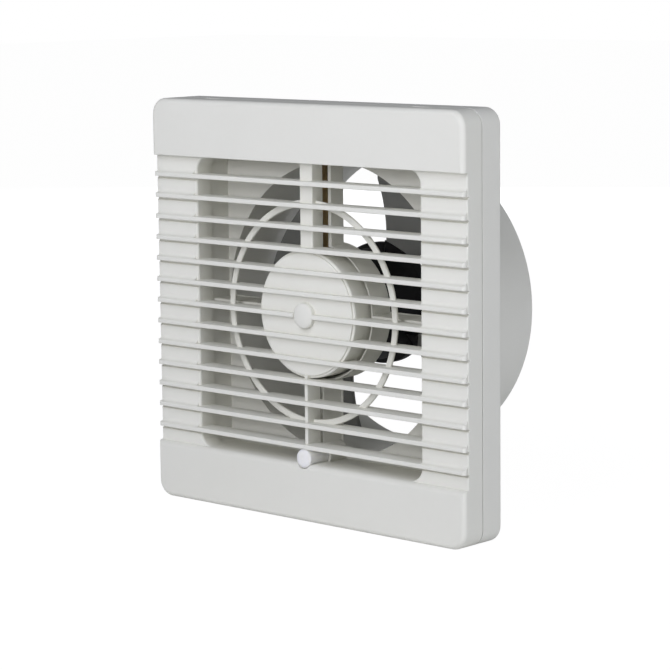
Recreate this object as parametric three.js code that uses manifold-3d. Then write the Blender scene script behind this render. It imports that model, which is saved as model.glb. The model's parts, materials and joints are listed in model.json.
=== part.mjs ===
// A window exhaust fan: a square louvred front that pulls off a shallow box, with a round duct behind the
// box and a four-bladed impeller on a small motor inside it.
// Millimetres. X runs to the right, Y runs from the room into the duct and Z runs up. The origin is on the
// duct's axis, in the plane of the box's back, which sits against the window panel or the wall.

import * as THREE from 'three';
import { mergeVertices } from 'three/addons/utils/BufferGeometryUtils.js';
import Module from 'manifold-3d';

const wasm = await Module();
wasm.setup();

// ---------- Driving dimensions ----------

const FIT = 0.3; // gap between pieces that sit in or on each other
const OVERLAP = 0.5; // how far two shapes of one moulding run into each other
const PAST = 2; // how far a cutting shape runs past the face it cuts

// Square front and box
const FACE_SIZE = 198;
const CORNER_RADIUS = 8;
const FRONT_EDGE_RADIUS = 2.5;
const GRILLE_DEPTH = 13.2;
const BOX_DEPTH = 13.5;
const SEAM = 0.3;
const SIDE_WALL = 2.2;
const BAND_WALL = 2.4;
const BACK_PLATE = 2;
const BAND_HEIGHT = 27.8; // from the face's edge to its opening, on all four sides
const OPENING_RADIUS = 7;
const INNER_WALL = 1.8;
const BOX_OPENING_STEP = 0.3; // the box's inner wall stands this far outside the grille's

// Louvres
const LOUVRE_COUNT = 13;
const FIRST_STEP = 8.3; // from the top of the opening to the first louvre
const LAST_STEP = 7.1; // from the last louvre to the bottom of the opening
const LIP_HEIGHT = 2.2;
const LIP_SETBACK = 0.7;
const SLAT_END = 1; // the louvres end this far in front of the grille's rear edge
const STEP_DEPTH = 3.2; // depth of the stepped side panels behind the bands
const STEP_CHAMFER = 1;
const BAND_ROUNDING = 3;
const PANEL_WALL = 2.2;

// Guard ring, disc and posts
const RING_OUTER_RADIUS = 53.7;
const RING_WIDTH = 3.2;
const RING_SETBACK = 7.1;
const RING_DEPTH = 1.6;
const RING_EDGE = 0.5;
const DISC_RADIUS = 30;
const DISC_SETBACK = 3.6;
const DISC_WALL = 2;
const DISC_EDGE = 1.6;
const BOSS_RADIUS = 6.6;
const BOSS_SETBACK = 0.3;
const BOSS_CROWN = 1.4;
const TOP_POST_WIDTH = 8;
const TOP_POST_SETBACK = 4.6;
const BOTTOM_POST_WIDTH = 2;
const BOTTOM_POST_SETBACK = 3;

// Release slots in the top of the grille
const SLOT_LENGTH = 11;
const SLOT_WIDTH = 3;
const SLOT_SETBACK = 9.6;
const SLOT_FROM_SIDE = 33; // from the grille's side to the middle of a slot
const TONGUE_WIDTH = 16;
const TONGUE_THICKNESS = 1.6;
const TONGUE_REACH = 7;

// Duct
const BORE_STEP = 0.6; // the bore's radius is this much less than half the opening
const DUCT_WALL = 1.7;
const DUCT_LENGTH = 56.7;
const DUCT_SIDES = 64;

// Motor cup and arms
const CUP_ROOM = 1.8; // room round the motor's flange
const CUP_WALL = 1.8;
const CUP_LIP = 0.8; // the cup's wall thins to this at its front edge
const CUP_LIP_DEPTH = 3;
const CUP_INSET = 0.7; // the cup's rim lies this far behind the front of the box
const CUP_REAR = 0.5;
const CUP_FLOOR = 2;
const ARM_THICKNESS = 1.8;
const ARM_DEPTH = 14;
const ARM_BEAD = 2.8;
const ARM_BEAD_DEPTH = 1.4;
const CHANNEL_WIDTH = 14.2;
const CHANNEL_DEPTH = 8.8;
const CHANNEL_FLOOR = 1.8;

// Motor
const CAN_RADIUS = 22.4;
const CAN_WALL = 1;
const FLANGE_WIDTH = 6.6;
const FLANGE_THICKNESS = 1.2;
const BEARING_RADIUS = 6.2;
const BEARING_LENGTH = 5;
const BEARING_BOSS_WALL = 1.4;
const SHAFT_RADIUS = 2.5;
const SHAFT_TAIL = 1.5; // how far the shaft shows past the front bearing and past the nut
const CORE_LENGTH = 16;
const COIL_ROOM = 3.4; // room between the end cover and the windings
const BEARING_ROOM = 2.3; // room between the core and the rear bearing
const YOKE_WIDTH = 4;
const POLE_COUNT = 4;
const POLE_WIDTH = 6;
const AIR_GAP = 0.6;
const ROTOR_RADIUS = 10;
const COIL_BUILD = 3;
const COIL_WIDTH = 3.6;
const MOTOR_SCREW_COUNT = 3;
const MOTOR_SCREW_INSET = 3; // from the flange's edge to a screw's middle
const MOTOR_SCREW_RADIUS = 1.4;
const MOTOR_SCREW_HEAD = 2.5;
const MOTOR_SCREW_HEAD_HEIGHT = 1.6;

// Impeller
const HUB_ROOM = 2.3; // room round the motor's can
const HUB_WALL = 2;
const HUB_GAP = 2.1; // from the cup's floor to the hub's front edge
const HUB_END_ROOM = 2; // room between the can's end and the hub's boss
const HUB_ROUNDING = 3;
const HUB_BOSS_RADIUS = 6.5;
const HUB_BOSS_LENGTH = 8;
const BLADE_COUNT = 4;
const BLADE_START = 55.2; // angle of the first blade's root from +X, in degrees
const BLADE_ROOT_SPAN = 22.3; // degrees
const BLADE_TIP_SPAN = 55.2; // degrees
const BLADE_SWEEP = 3.9; // degrees
const BLADE_RISE = 10.6;
const BLADE_INSET = 11.3; // the blades' middle turns this far in front of the hub's end
const TIP_GAP = 3.9;
const BLADE_CORNER = 6;
const BLADE_THICKNESS = 1.8;
const WASHER_RADIUS = 5.5;
const WASHER_THICKNESS = 1;
const NUT_ACROSS_FLATS = 8;
const NUT_HEIGHT = 3.2;

// Indicator lamp
const LENS_RADIUS = 4.4;
const LENS_SETBACK = 0.4;
const LENS_LIFT = 2.6; // the lens's middle lies this far above the bottom of the opening
const LENS_EDGE = 0.8;
const LENS_SEAT = 2.8; // length of the lens inside its socket
const SOCKET_WALL = 1.2;
const SOCKET_FLOOR = 2; // from the socket's floor to the back plate
const LAMP_RADIUS = 3;
const LAMP_LEAD_RADIUS = 0.6;
const LAMP_LEAD_LIFT = 0.5; // clear height of the lamp's leads over the back plate
const LAMP_LEAD_GUTTER = 4.5; // distance from the inner wall to the lamp's leads
const LAMP_LEAD_SPREAD = 1.2; // X of each lead where it leaves the lamp
const LAMP_LEAD_ROOM = 1.8; // room between a lead and the top of the block
const LAMP_LEAD_BEND = 10; // length of a lead's bend round a corner
const LAMP_LEAD_STEPS = 52;
const LAMP_LEAD_SIDES = 3;

// Wiring
const LEAD_RADIUS = 1.5;
const LEAD_SPACING = 3.6;
const BROWN_LEAD_PLACE = 0.7; // X of the brown lead in its channel
const BROWN_LEAD_LIFT = 2.2; // clear height of the brown lead over the channel's floor
const LEAD_EXIT_HEIGHT = 17.5;
const LEAD_TAIL = 1; // a motor lead starts this far in front of the windings
const LEAD_BEND = 4.5; // length of a motor lead's bend
const LEAD_STAGGER = 3; // how far the blue lead turns off behind the brown one
const LEAD_LIFT = 0.8; // clear height of a motor lead over the inner wall
const LEAD_STEPS = 40;
const LEAD_SIDES = 4;
const BLOCK_MARGIN = 1;
const BLOCK_HEIGHT = 12;
const BLOCK_DEPTH = 10;
const BLOCK_BESIDE_CHANNEL = 6.9;
const BLOCK_ABOVE_WALL = 7;
const TERMINAL_PITCH = 9;
const TERMINAL_COUNT = 3;
const TERMINAL_GROOVE = 1.2;
const TERMINAL_GROOVE_DEPTH = 3;
const TERMINAL_HOLE_RADIUS = 2.5;
const TERMINAL_HOLE_DEPTH = 5;
const TERMINAL_SCREW_HEIGHT = 3;
const GROMMET_FROM_SIDE = 37;
const GROMMET_FROM_TOP = 14;
const GROMMET_HOLE_RADIUS = 5.2;
const GROMMET_FLANGE = 1.8;
const GROMMET_FLANGE_THICKNESS = 1;
const GROMMET_WALL = 1.5;
const WALL_HOLE_RADIUS = 2.4;
const WALL_HOLE_INSET = 13.5; // from the box's side to a wall screw's middle

// ---------- Places worked out from them ----------

const FRONT = -(GRILLE_DEPTH + SEAM + BOX_DEPTH);
const behindFront = (distance) => FRONT + distance;
const BOX_FRONT = -BOX_DEPTH;
const GRILLE_REAR = behindFront(GRILLE_DEPTH);
const HALF_FACE = FACE_SIZE / 2;
const HALF_OPENING = HALF_FACE - BAND_HEIGHT;
const BOX_HALF_OPENING = HALF_OPENING + BOX_OPENING_STEP;
const BORE_RADIUS = HALF_OPENING - BORE_STEP;
const DUCT_RADIUS = BORE_RADIUS + DUCT_WALL;
const FLANGE_RADIUS = CAN_RADIUS + FLANGE_WIDTH;
const CUP_RADIUS = FLANGE_RADIUS + CUP_ROOM + CUP_WALL;
const CUP_FRONT = BOX_FRONT + CUP_INSET;
const CUP_FLOOR_FRONT = CUP_REAR - CUP_FLOOR;
const CHANNEL_FLOOR_FRONT = CUP_FRONT + CHANNEL_DEPTH - CHANNEL_FLOOR;
const FIRST_LOUVRE = HALF_OPENING - FIRST_STEP - LIP_HEIGHT; // the first louvre's underside
const LOUVRE_PITCH = (FIRST_LOUVRE + HALF_OPENING - LAST_STEP) / (LOUVRE_COUNT - 1);
const louvreBottom = (index) => FIRST_LOUVRE - index * LOUVRE_PITCH;
const SLAT_FRONT = behindFront(LIP_SETBACK);
const SLAT_REAR = GRILLE_REAR - SLAT_END;
const RING_INNER_RADIUS = RING_OUTER_RADIUS - RING_WIDTH;
const SLOT_PLACE = HALF_FACE - SLOT_FROM_SIDE;
const ARM_REACH = BOX_HALF_OPENING + OVERLAP;
const LENS_DROP = HALF_OPENING - LENS_LIFT;
const SOCKET_RADIUS = LENS_RADIUS + FIT + SOCKET_WALL;
const SOCKET_REAR = -BACK_PLATE - SOCKET_FLOOR;
const FLANGE_REAR = CUP_FLOOR_FRONT - FIT;
const COVER_REAR = FLANGE_REAR - FLANGE_THICKNESS - FIT;
const COVER_FRONT = COVER_REAR - FLANGE_THICKNESS;
const SHAFT_HOLE_RADIUS = SHAFT_RADIUS + FIT;
const STATOR_RADIUS = CAN_RADIUS - CAN_WALL - FIT;
const BEARING_BOSS_RADIUS = BEARING_RADIUS + FIT + BEARING_BOSS_WALL;
const FRONT_BEARING_FRONT = COVER_FRONT - BEARING_LENGTH;
const CORE_FRONT = COVER_REAR + COIL_ROOM + COIL_BUILD + FIT;
const CORE_REAR = CORE_FRONT + CORE_LENGTH;
const REAR_BEARING_FRONT = CORE_REAR + BEARING_ROOM;
const CAN_REAR = REAR_BEARING_FRONT + BEARING_LENGTH + FIT + CAN_WALL;
const HUB_RADIUS = CAN_RADIUS + HUB_ROOM + HUB_WALL;
const HUB_FRONT = CUP_REAR + HUB_GAP;
const HUB_REAR = CAN_REAR + HUB_END_ROOM + HUB_BOSS_LENGTH;
const BLADE_PLACE = HUB_REAR - BLADE_INSET;
const BLADE_TIP_RADIUS = BORE_RADIUS - TIP_GAP;
const BLOCK_BOTTOM = BOX_HALF_OPENING + INNER_WALL + BLOCK_ABOVE_WALL;
const BLOCK_TOP = BLOCK_BOTTOM + BLOCK_HEIGHT;
const BLOCK_REAR = -BACK_PLATE - FIT;
const BLOCK_LEFT = CHANNEL_WIDTH / 2 + BLOCK_BESIDE_CHANNEL;
const BLOCK_WIDTH = TERMINAL_COUNT * TERMINAL_PITCH + BLOCK_MARGIN;
const BLOCK_MIDDLE = BLOCK_LEFT + BLOCK_WIDTH / 2;
const terminalX = (index) => BLOCK_MIDDLE + (index - (TERMINAL_COUNT - 1) / 2) * TERMINAL_PITCH;

// ---------- Materials ----------

const plastic = (colour, roughness = 0.45) =>
  new THREE.MeshStandardMaterial({ color: colour, roughness, metalness: 0 });
const metal = (colour, roughness = 0.35) =>
  new THREE.MeshStandardMaterial({ color: colour, roughness, metalness: 1 });

const OFF_WHITE = plastic(0xe2e3df);
const BOX_WHITE = plastic(0xdcdddb);
const BLADE_GREY = plastic(0x8c8d89, 0.4);
const LENS_WHITE = plastic(0xf2f2ec, 0.2);
const BROWN = plastic(0x5d4a33, 0.5);
const BLUE = plastic(0x2c4f8c, 0.5);
const BLACK_RUBBER = plastic(0x1c1c1c, 0.8);
const TERMINAL_WHITE = plastic(0xe8e6dc, 0.5);
const LAMP_GLASS = plastic(0xe79a5a, 0.1);
const STEEL = metal(0xb4b6b8);
const DARK_STEEL = metal(0x55575a, 0.5);
const COPPER = metal(0xb06a35);
const BRONZE = metal(0x9a7b45);

// ---------- Shape helpers ----------

// Turns a closed three.js geometry into a solid, with its faces pointing out.
function solid(geometry) {
  const bare = geometry.clone();
  for (const name of Object.keys(bare.attributes)) {
    if (name !== 'position') bare.deleteAttribute(name);
  }
  const merged = mergeVertices(bare, 1e-4);
  const index = merged.index.array;
  const triangles = [];
  for (let i = 0; i < index.length; i += 3) {
    const [a, b, c] = [index[i], index[i + 1], index[i + 2]];
    if (a !== b && b !== c && c !== a) triangles.push(a, b, c);
  }
  const build = (order) =>
    new wasm.Manifold(
      new wasm.Mesh({
        numProp: 3,
        vertProperties: Float32Array.from(merged.attributes.position.array),
        triVerts: Uint32Array.from(order),
      }),
    );
  const made = build(triangles);
  if (made.volume() > 0) return made;
  return build(triangles.reverse());
}

function join(...solids) {
  return solids.reduce((whole, piece) => whole.add(piece));
}

function cut(body, ...tools) {
  return tools.reduce((rest, tool) => rest.subtract(tool), body);
}

// Makes a named mesh from a finished solid.
function piece(name, body, material) {
  const made = body.getMesh();
  const geometry = new THREE.BufferGeometry();
  geometry.setAttribute('position', new THREE.BufferAttribute(Float32Array.from(made.vertProperties), 3));
  geometry.setIndex(new THREE.BufferAttribute(Uint32Array.from(made.triVerts), 1));
  geometry.computeVertexNormals();
  const mesh = new THREE.Mesh(geometry, material);
  mesh.name = name;
  return mesh;
}

function block(x, y, z) {
  const geometry = new THREE.BoxGeometry(x[1] - x[0], y[1] - y[0], z[1] - z[0]);
  geometry.translate((x[0] + x[1]) / 2, (y[0] + y[1]) / 2, (z[0] + z[1]) / 2);
  return solid(geometry);
}

// Extrudes a shape drawn in X and Z along Y, from the front to the rear.
function slab(shape, front, rear, curveSegments = 5) {
  const geometry = new THREE.ExtrudeGeometry(shape, {
    depth: rear - front,
    bevelEnabled: false,
    curveSegments,
  });
  geometry.rotateX(Math.PI / 2);
  geometry.translate(0, rear, 0);
  return solid(geometry);
}

// Extrudes an outline of [y, z] points along X.
function bar(outline, left, right) {
  const shape = new THREE.Shape(outline.map(([y, z]) => new THREE.Vector2(y, z)));
  const geometry = new THREE.ExtrudeGeometry(shape, { depth: right - left, bevelEnabled: false });
  // Drawn X and Y become the part's Y and Z, and the depth becomes X.
  geometry.applyMatrix4(new THREE.Matrix4().set(0, 0, 1, left, 1, 0, 0, 0, 0, 1, 0, 0, 0, 0, 0, 1));
  return solid(geometry);
}

// Turns a closed outline of [radius, y] points about the Y axis.
function turned(outline, segments = 36) {
  const points = outline.map(([r, y]) => new THREE.Vector2(r, y));
  return solid(new THREE.LatheGeometry([...points, points[0].clone()], segments));
}

// A plain cylinder along Y, centred on [x, z].
function rod(radius, front, rear, x = 0, z = 0, segments = 24) {
  const geometry = new THREE.CylinderGeometry(radius, radius, rear - front, segments);
  geometry.translate(x, (front + rear) / 2, z);
  return solid(geometry);
}

// A ring along Y, centred on the axis.
function ring(outerRadius, innerRadius, front, rear, segments = 36) {
  return turned(
    [
      [innerRadius, front],
      [outerRadius, front],
      [outerRadius, rear],
      [innerRadius, rear],
    ],
    segments,
  );
}

function roundedSquare(half, radius) {
  const shape = new THREE.Shape();
  shape.moveTo(-half + radius, -half);
  shape.lineTo(half - radius, -half);
  shape.absarc(half - radius, -half + radius, radius, -Math.PI / 2, 0);
  shape.lineTo(half, half - radius);
  shape.absarc(half - radius, half - radius, radius, 0, Math.PI / 2);
  shape.lineTo(-half + radius, half);
  shape.absarc(-half + radius, half - radius, radius, Math.PI / 2, Math.PI);
  shape.lineTo(-half, -half + radius);
  shape.absarc(-half + radius, -half + radius, radius, Math.PI, Math.PI * 1.5);
  return shape;
}

// The wall between two rounded squares, from the front to the rear.
function squareWall(innerHalf, innerRadius, wall, front, rear) {
  const outside = slab(roundedSquare(innerHalf + wall, innerRadius + wall), front, rear);
  return cut(outside, slab(roundedSquare(innerHalf, innerRadius), front - PAST, rear + PAST));
}

// A round tube of material along a smooth curve through the points.
function cable(points, radius, steps, sides = 8) {
  const section = new THREE.Shape();
  section.absarc(0, 0, radius, 0, Math.PI * 2);
  const path = new THREE.CatmullRomCurve3(
    points.map(([x, y, z]) => new THREE.Vector3(x, y, z)),
    false,
    'centripetal',
  );
  const settings = { steps, curveSegments: sides, extrudePath: path, bevelEnabled: false };
  return solid(new THREE.ExtrudeGeometry(section, settings));
}

function aroundY(body, degrees) {
  return body.rotate([0, degrees, 0]);
}

// ---------- Front grille ----------

// The outer block with its rounded corners and its rounded front edge.
function grilleBlock() {
  const shape = roundedSquare(HALF_FACE - FRONT_EDGE_RADIUS, CORNER_RADIUS - FRONT_EDGE_RADIUS);
  const geometry = new THREE.ExtrudeGeometry(shape, {
    depth: GRILLE_DEPTH,
    bevelEnabled: true,
    bevelThickness: FRONT_EDGE_RADIUS,
    bevelSize: FRONT_EDGE_RADIUS,
    bevelSegments: 2,
    curveSegments: 5,
  });
  geometry.rotateX(Math.PI / 2);
  geometry.translate(0, FRONT + FRONT_EDGE_RADIUS + GRILLE_DEPTH, 0);
  const reach = HALF_FACE + PAST;
  const behind = block([-reach, reach], [GRILLE_REAR, GRILLE_REAR + GRILLE_DEPTH], [-reach, reach]);
  return cut(solid(geometry), behind);
}

// The step between two louvre lips, as an outline of [y, z] points with a small chamfer on the lower lip.
function stepOutline(top, bottom) {
  const floor = behindFront(STEP_DEPTH);
  return [
    [FRONT - PAST, top],
    [floor, top],
    [floor, bottom + STEP_CHAMFER],
    [floor - STEP_CHAMFER, bottom],
    [FRONT - PAST, bottom],
  ];
}

// The last step ends on the rounded top edge of the bottom band.
function lastStepOutline(top) {
  const bottom = -HALF_OPENING;
  const outline = [
    [FRONT - PAST, top],
    [behindFront(STEP_DEPTH), top],
    [behindFront(STEP_DEPTH), bottom],
  ];
  const arcSteps = 3;
  for (let i = 0; i <= arcSteps; i += 1) {
    const angle = ((Math.PI / 2) * i) / arcSteps;
    const inward = BAND_ROUNDING * (1 - Math.sin(angle));
    const down = BAND_ROUNDING * (1 - Math.cos(angle));
    outline.push([FRONT + inward, bottom - down]);
  }
  outline.push([FRONT - PAST, bottom - BAND_ROUNDING]);
  return outline;
}

function cutSteps(body) {
  const reach = HALF_FACE + PAST;
  let stepped = cut(
    body,
    block([-reach, reach], [FRONT - PAST, behindFront(LIP_SETBACK)], [-HALF_OPENING, HALF_OPENING]),
  );
  for (let i = 0; i <= LOUVRE_COUNT; i += 1) {
    const top = i === 0 ? HALF_OPENING : louvreBottom(i - 1);
    const last = i === LOUVRE_COUNT;
    const outline = last ? lastStepOutline(top) : stepOutline(top, louvreBottom(i) + LIP_HEIGHT);
    stepped = stepped.subtract(bar(outline, -reach, reach));
  }
  return stepped;
}

function guardRing() {
  const front = behindFront(RING_SETBACK);
  const outline = [
    [RING_INNER_RADIUS, front + RING_EDGE],
    [RING_INNER_RADIUS + RING_EDGE, front],
    [RING_OUTER_RADIUS - RING_EDGE, front],
    [RING_OUTER_RADIUS, front + RING_EDGE],
    [RING_OUTER_RADIUS, front + RING_DEPTH],
    [RING_INNER_RADIUS, front + RING_DEPTH],
  ];
  return turned(outline, 48);
}

function guardDisc() {
  const front = behindFront(DISC_SETBACK);
  const inner = DISC_RADIUS - DISC_WALL;
  return turned([
    [0, front],
    [DISC_RADIUS - DISC_EDGE, front],
    [DISC_RADIUS - DISC_EDGE * 0.3, front + DISC_EDGE * 0.3],
    [DISC_RADIUS, front + DISC_EDGE],
    [DISC_RADIUS, GRILLE_REAR],
    [inner, GRILLE_REAR],
    [inner, front + DISC_WALL],
    [0, front + DISC_WALL],
  ]);
}

function discBoss() {
  const front = behindFront(BOSS_SETBACK);
  return turned([
    [0, front],
    [BOSS_RADIUS * 0.62, front + BOSS_CROWN * 0.25],
    [BOSS_RADIUS * 0.9, front + BOSS_CROWN * 0.65],
    [BOSS_RADIUS, front + BOSS_CROWN],
    [BOSS_RADIUS, behindFront(DISC_SETBACK) + OVERLAP],
    [0, behindFront(DISC_SETBACK) + OVERLAP],
  ], 24);
}

function releaseSlot(x) {
  const half = (SLOT_LENGTH - SLOT_WIDTH) / 2;
  const y = behindFront(SLOT_SETBACK);
  const low = HALF_FACE - SIDE_WALL - PAST;
  const ends = [-half, half].map((side) => {
    const geometry = new THREE.CylinderGeometry(SLOT_WIDTH / 2, SLOT_WIDTH / 2, SIDE_WALL + 2 * PAST, 12);
    geometry.rotateX(Math.PI / 2);
    geometry.translate(x + side, y, HALF_FACE - SIDE_WALL / 2);
    return solid(geometry);
  });
  const across = [y - SLOT_WIDTH / 2, y + SLOT_WIDTH / 2];
  const middle = block([x - half, x + half], across, [low, HALF_FACE + PAST]);
  return join(middle, ...ends);
}

function frontGrille() {
  const panelRear = behindFront(STEP_DEPTH + PANEL_WALL);
  const insideHalf = HALF_FACE - SIDE_WALL;
  const revealOutside = HALF_OPENING + INNER_WALL;
  const cavity = slab(
    roundedSquare(insideHalf, CORNER_RADIUS - SIDE_WALL),
    panelRear,
    GRILLE_REAR + PAST,
  );
  const bandCavities = [-1, 1].map((side) => {
    const heights = [side * revealOutside, side * (insideHalf - CORNER_RADIUS)].sort((a, b) => a - b);
    const reach = insideHalf - CORNER_RADIUS;
    return block([-reach, reach], [behindFront(BAND_WALL), panelRear + OVERLAP], heights);
  });
  const opening = slab(roundedSquare(HALF_OPENING, OPENING_RADIUS), FRONT - PAST, GRILLE_REAR + PAST);
  const reveal = squareWall(HALF_OPENING, OPENING_RADIUS, INNER_WALL, panelRear - OVERLAP, GRILLE_REAR);

  let body = cut(cutSteps(grilleBlock()), cavity, ...bandCavities, opening).add(reveal);

  const slatReach = HALF_OPENING + OVERLAP;
  for (let i = 0; i < LOUVRE_COUNT; i += 1) {
    const bottom = louvreBottom(i);
    body = body.add(block([-slatReach, slatReach], [SLAT_FRONT, SLAT_REAR], [bottom, bottom + LIP_HEIGHT]));
  }

  const discEdge = DISC_RADIUS - DISC_WALL / 2;
  const lowestLip = louvreBottom(LOUVRE_COUNT - 1) + OVERLAP;
  const topPost = block(
    [-TOP_POST_WIDTH / 2, TOP_POST_WIDTH / 2],
    [behindFront(TOP_POST_SETBACK), SLAT_REAR],
    [discEdge, slatReach],
  );
  const bottomPost = block(
    [-BOTTOM_POST_WIDTH / 2, BOTTOM_POST_WIDTH / 2],
    [behindFront(BOTTOM_POST_SETBACK), SLAT_REAR],
    [lowestLip, -discEdge],
  );
  body = join(body, topPost, bottomPost, guardRing(), guardDisc(), discBoss());

  const behindDisc = rod(
    DISC_RADIUS - DISC_WALL,
    behindFront(DISC_SETBACK) + DISC_WALL,
    GRILLE_REAR + PAST,
    0,
    0,
    48,
  );
  const lensHole = rod(LENS_RADIUS + FIT, FRONT - PAST, GRILLE_REAR + PAST, 0, -LENS_DROP);
  return cut(body, behindDisc, lensHole, releaseSlot(-SLOT_PLACE), releaseSlot(SLOT_PLACE));
}

// ---------- Rear housing ----------

// A flat arm to the right of the axis, from the cup to the inner wall, with a bead along its rear edge.
function flatArm() {
  const start = CUP_RADIUS - CUP_LIP / 2;
  const rear = CUP_FRONT + ARM_DEPTH;
  return join(
    block([start, ARM_REACH], [CUP_FRONT, rear], [-ARM_THICKNESS / 2, ARM_THICKNESS / 2]),
    block([start, ARM_REACH], [rear - ARM_BEAD_DEPTH, rear], [-ARM_BEAD / 2, ARM_BEAD / 2]),
  );
}

// The top arm is an open channel that the motor's leads lie in.
function channelArm() {
  const start = CUP_RADIUS - CUP_WALL / 2;
  const wallStart = CUP_RADIUS * Math.cos(Math.asin(CHANNEL_WIDTH / 2 / CUP_RADIUS)) - CUP_LIP / 2;
  const half = CHANNEL_WIDTH / 2;
  const rear = CUP_FRONT + CHANNEL_DEPTH;
  const walls = [-1, 1].map((side) => {
    const x = [side * half, side * (half - ARM_THICKNESS)].sort((a, b) => a - b);
    return block(x, [CUP_FRONT, rear], [wallStart, ARM_REACH]);
  });
  const floor = block([-half, half], [CHANNEL_FLOOR_FRONT, rear], [start, ARM_REACH]);
  return join(floor, ...walls);
}

// The way for the leads through the cup's rim and the inner wall.
function leadWay() {
  const half = CHANNEL_WIDTH / 2 - ARM_THICKNESS;
  const front = BOX_FRONT - PAST;
  const rear = CHANNEL_FLOOR_FRONT;
  return join(
    block([-half, half], [front, rear], [CUP_RADIUS - CUP_WALL - PAST, CUP_RADIUS + PAST]),
    block([-half, half], [front, rear], [BOX_HALF_OPENING - PAST, BOX_HALF_OPENING + INNER_WALL + PAST]),
  );
}

// A tab that stands inside the grille's wall, at the top or the bottom.
function latchTongue(x, side) {
  const outer = HALF_FACE - SIDE_WALL - FIT;
  const half = TONGUE_WIDTH / 2;
  const order = (a, b) => [side * a, side * b].sort((p, q) => p - q);
  return join(
    block(
      [x - half, x + half],
      [BOX_FRONT - TONGUE_REACH, BOX_FRONT + TONGUE_REACH],
      order(outer - TONGUE_THICKNESS, outer),
    ),
    block(
      [x - half, x + half],
      [BOX_FRONT + FIT, BOX_FRONT + TONGUE_REACH],
      order(outer - TONGUE_THICKNESS, outer + FIT + SIDE_WALL / 2),
    ),
  );
}

function grommetPlace() {
  return [GROMMET_FROM_SIDE - HALF_FACE, HALF_FACE - GROMMET_FROM_TOP];
}

function rearHousing() {
  const outerWall = squareWall(
    HALF_FACE - SIDE_WALL,
    CORNER_RADIUS - SIDE_WALL,
    SIDE_WALL,
    BOX_FRONT,
    0,
  );
  const innerWall = squareWall(BOX_HALF_OPENING, OPENING_RADIUS, INNER_WALL, BOX_FRONT, -BACK_PLATE / 2);
  const backPlate = cut(
    slab(roundedSquare(HALF_FACE - SIDE_WALL / 2, CORNER_RADIUS - SIDE_WALL / 2), -BACK_PLATE, 0),
    rod(BORE_RADIUS, -BACK_PLATE - PAST, PAST, 0, 0, DUCT_SIDES),
  );
  const duct = ring(DUCT_RADIUS, BORE_RADIUS, -BACK_PLATE, DUCT_LENGTH, DUCT_SIDES);

  const cup = turned([
    [CAN_RADIUS + FIT, CUP_FLOOR_FRONT],
    [CUP_RADIUS - CUP_WALL, CUP_FLOOR_FRONT],
    [CUP_RADIUS - CUP_WALL, CUP_FRONT + CUP_LIP_DEPTH],
    [CUP_RADIUS - CUP_LIP, CUP_FRONT],
    [CUP_RADIUS, CUP_FRONT],
    [CUP_RADIUS, CUP_REAR],
    [CAN_RADIUS + FIT, CUP_REAR],
  ]);
  const arms = [flatArm(), aroundY(flatArm(), 90), aroundY(flatArm(), 180), channelArm()];

  const socketFront = BOX_FRONT;
  const socket = rod(SOCKET_RADIUS, socketFront, -BACK_PLATE / 2, 0, -LENS_DROP);
  const socketBore = rod(LENS_RADIUS + FIT, socketFront - PAST, SOCKET_REAR, 0, -LENS_DROP);
  const lampLeadWay = block(
    [-LAMP_RADIUS, LAMP_RADIUS],
    [SOCKET_REAR - 2 * LAMP_RADIUS, SOCKET_REAR],
    [-LENS_DROP - SOCKET_RADIUS - PAST, -LENS_DROP],
  );

  const wallHole = HALF_FACE - WALL_HOLE_INSET;
  const corners = [-wallHole, wallHole];
  const wallHoles = corners.flatMap((x) =>
    corners.map((z) => rod(WALL_HOLE_RADIUS, -BACK_PLATE - PAST, PAST, x, z, 16)),
  );
  const [grommetX, grommetZ] = grommetPlace();
  const inlet = rod(GROMMET_HOLE_RADIUS, -BACK_PLATE - PAST, PAST, grommetX, grommetZ);
  const screwHoles = motorScrewPlaces().map(([x, z]) =>
    rod(MOTOR_SCREW_RADIUS + FIT, CUP_FLOOR_FRONT - PAST, CUP_REAR + PAST, x, z, 12),
  );
  const tongues = [-SLOT_PLACE, SLOT_PLACE].flatMap((x) => [latchTongue(x, 1), latchTongue(x, -1)]);

  const body = join(outerWall, innerWall, backPlate, duct, cup, ...arms, socket, ...tongues);
  return cut(body, leadWay(), socketBore, lampLeadWay, ...wallHoles, inlet, ...screwHoles);
}

// ---------- Motor ----------

function motorScrewPlaces() {
  const circle = FLANGE_RADIUS - MOTOR_SCREW_INSET;
  return Array.from({ length: MOTOR_SCREW_COUNT }, (_, i) => {
    const angle = Math.PI / 2 + Math.PI / MOTOR_SCREW_COUNT + (2 * Math.PI * i) / MOTOR_SCREW_COUNT;
    return [circle * Math.cos(angle), circle * Math.sin(angle)];
  });
}

function motorScrewHoles() {
  return motorScrewPlaces().map(([x, z]) =>
    rod(MOTOR_SCREW_RADIUS + FIT, COVER_FRONT - PAST, CUP_REAR + PAST, x, z, 12),
  );
}

function motorCan() {
  const insideRadius = CAN_RADIUS - CAN_WALL;
  const bossFront = REAR_BEARING_FRONT;
  const shell = turned([
    [insideRadius, FLANGE_REAR - FLANGE_THICKNESS],
    [FLANGE_RADIUS, FLANGE_REAR - FLANGE_THICKNESS],
    [FLANGE_RADIUS, FLANGE_REAR],
    [CAN_RADIUS, FLANGE_REAR],
    [CAN_RADIUS, CAN_REAR],
    [SHAFT_HOLE_RADIUS, CAN_REAR],
    [SHAFT_HOLE_RADIUS, CAN_REAR - CAN_WALL],
    [BEARING_RADIUS + FIT, CAN_REAR - CAN_WALL],
    [BEARING_RADIUS + FIT, bossFront],
    [BEARING_BOSS_RADIUS, bossFront],
    [BEARING_BOSS_RADIUS, CAN_REAR - CAN_WALL],
    [insideRadius, CAN_REAR - CAN_WALL],
  ]);
  return cut(shell, ...motorScrewHoles());
}

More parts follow.
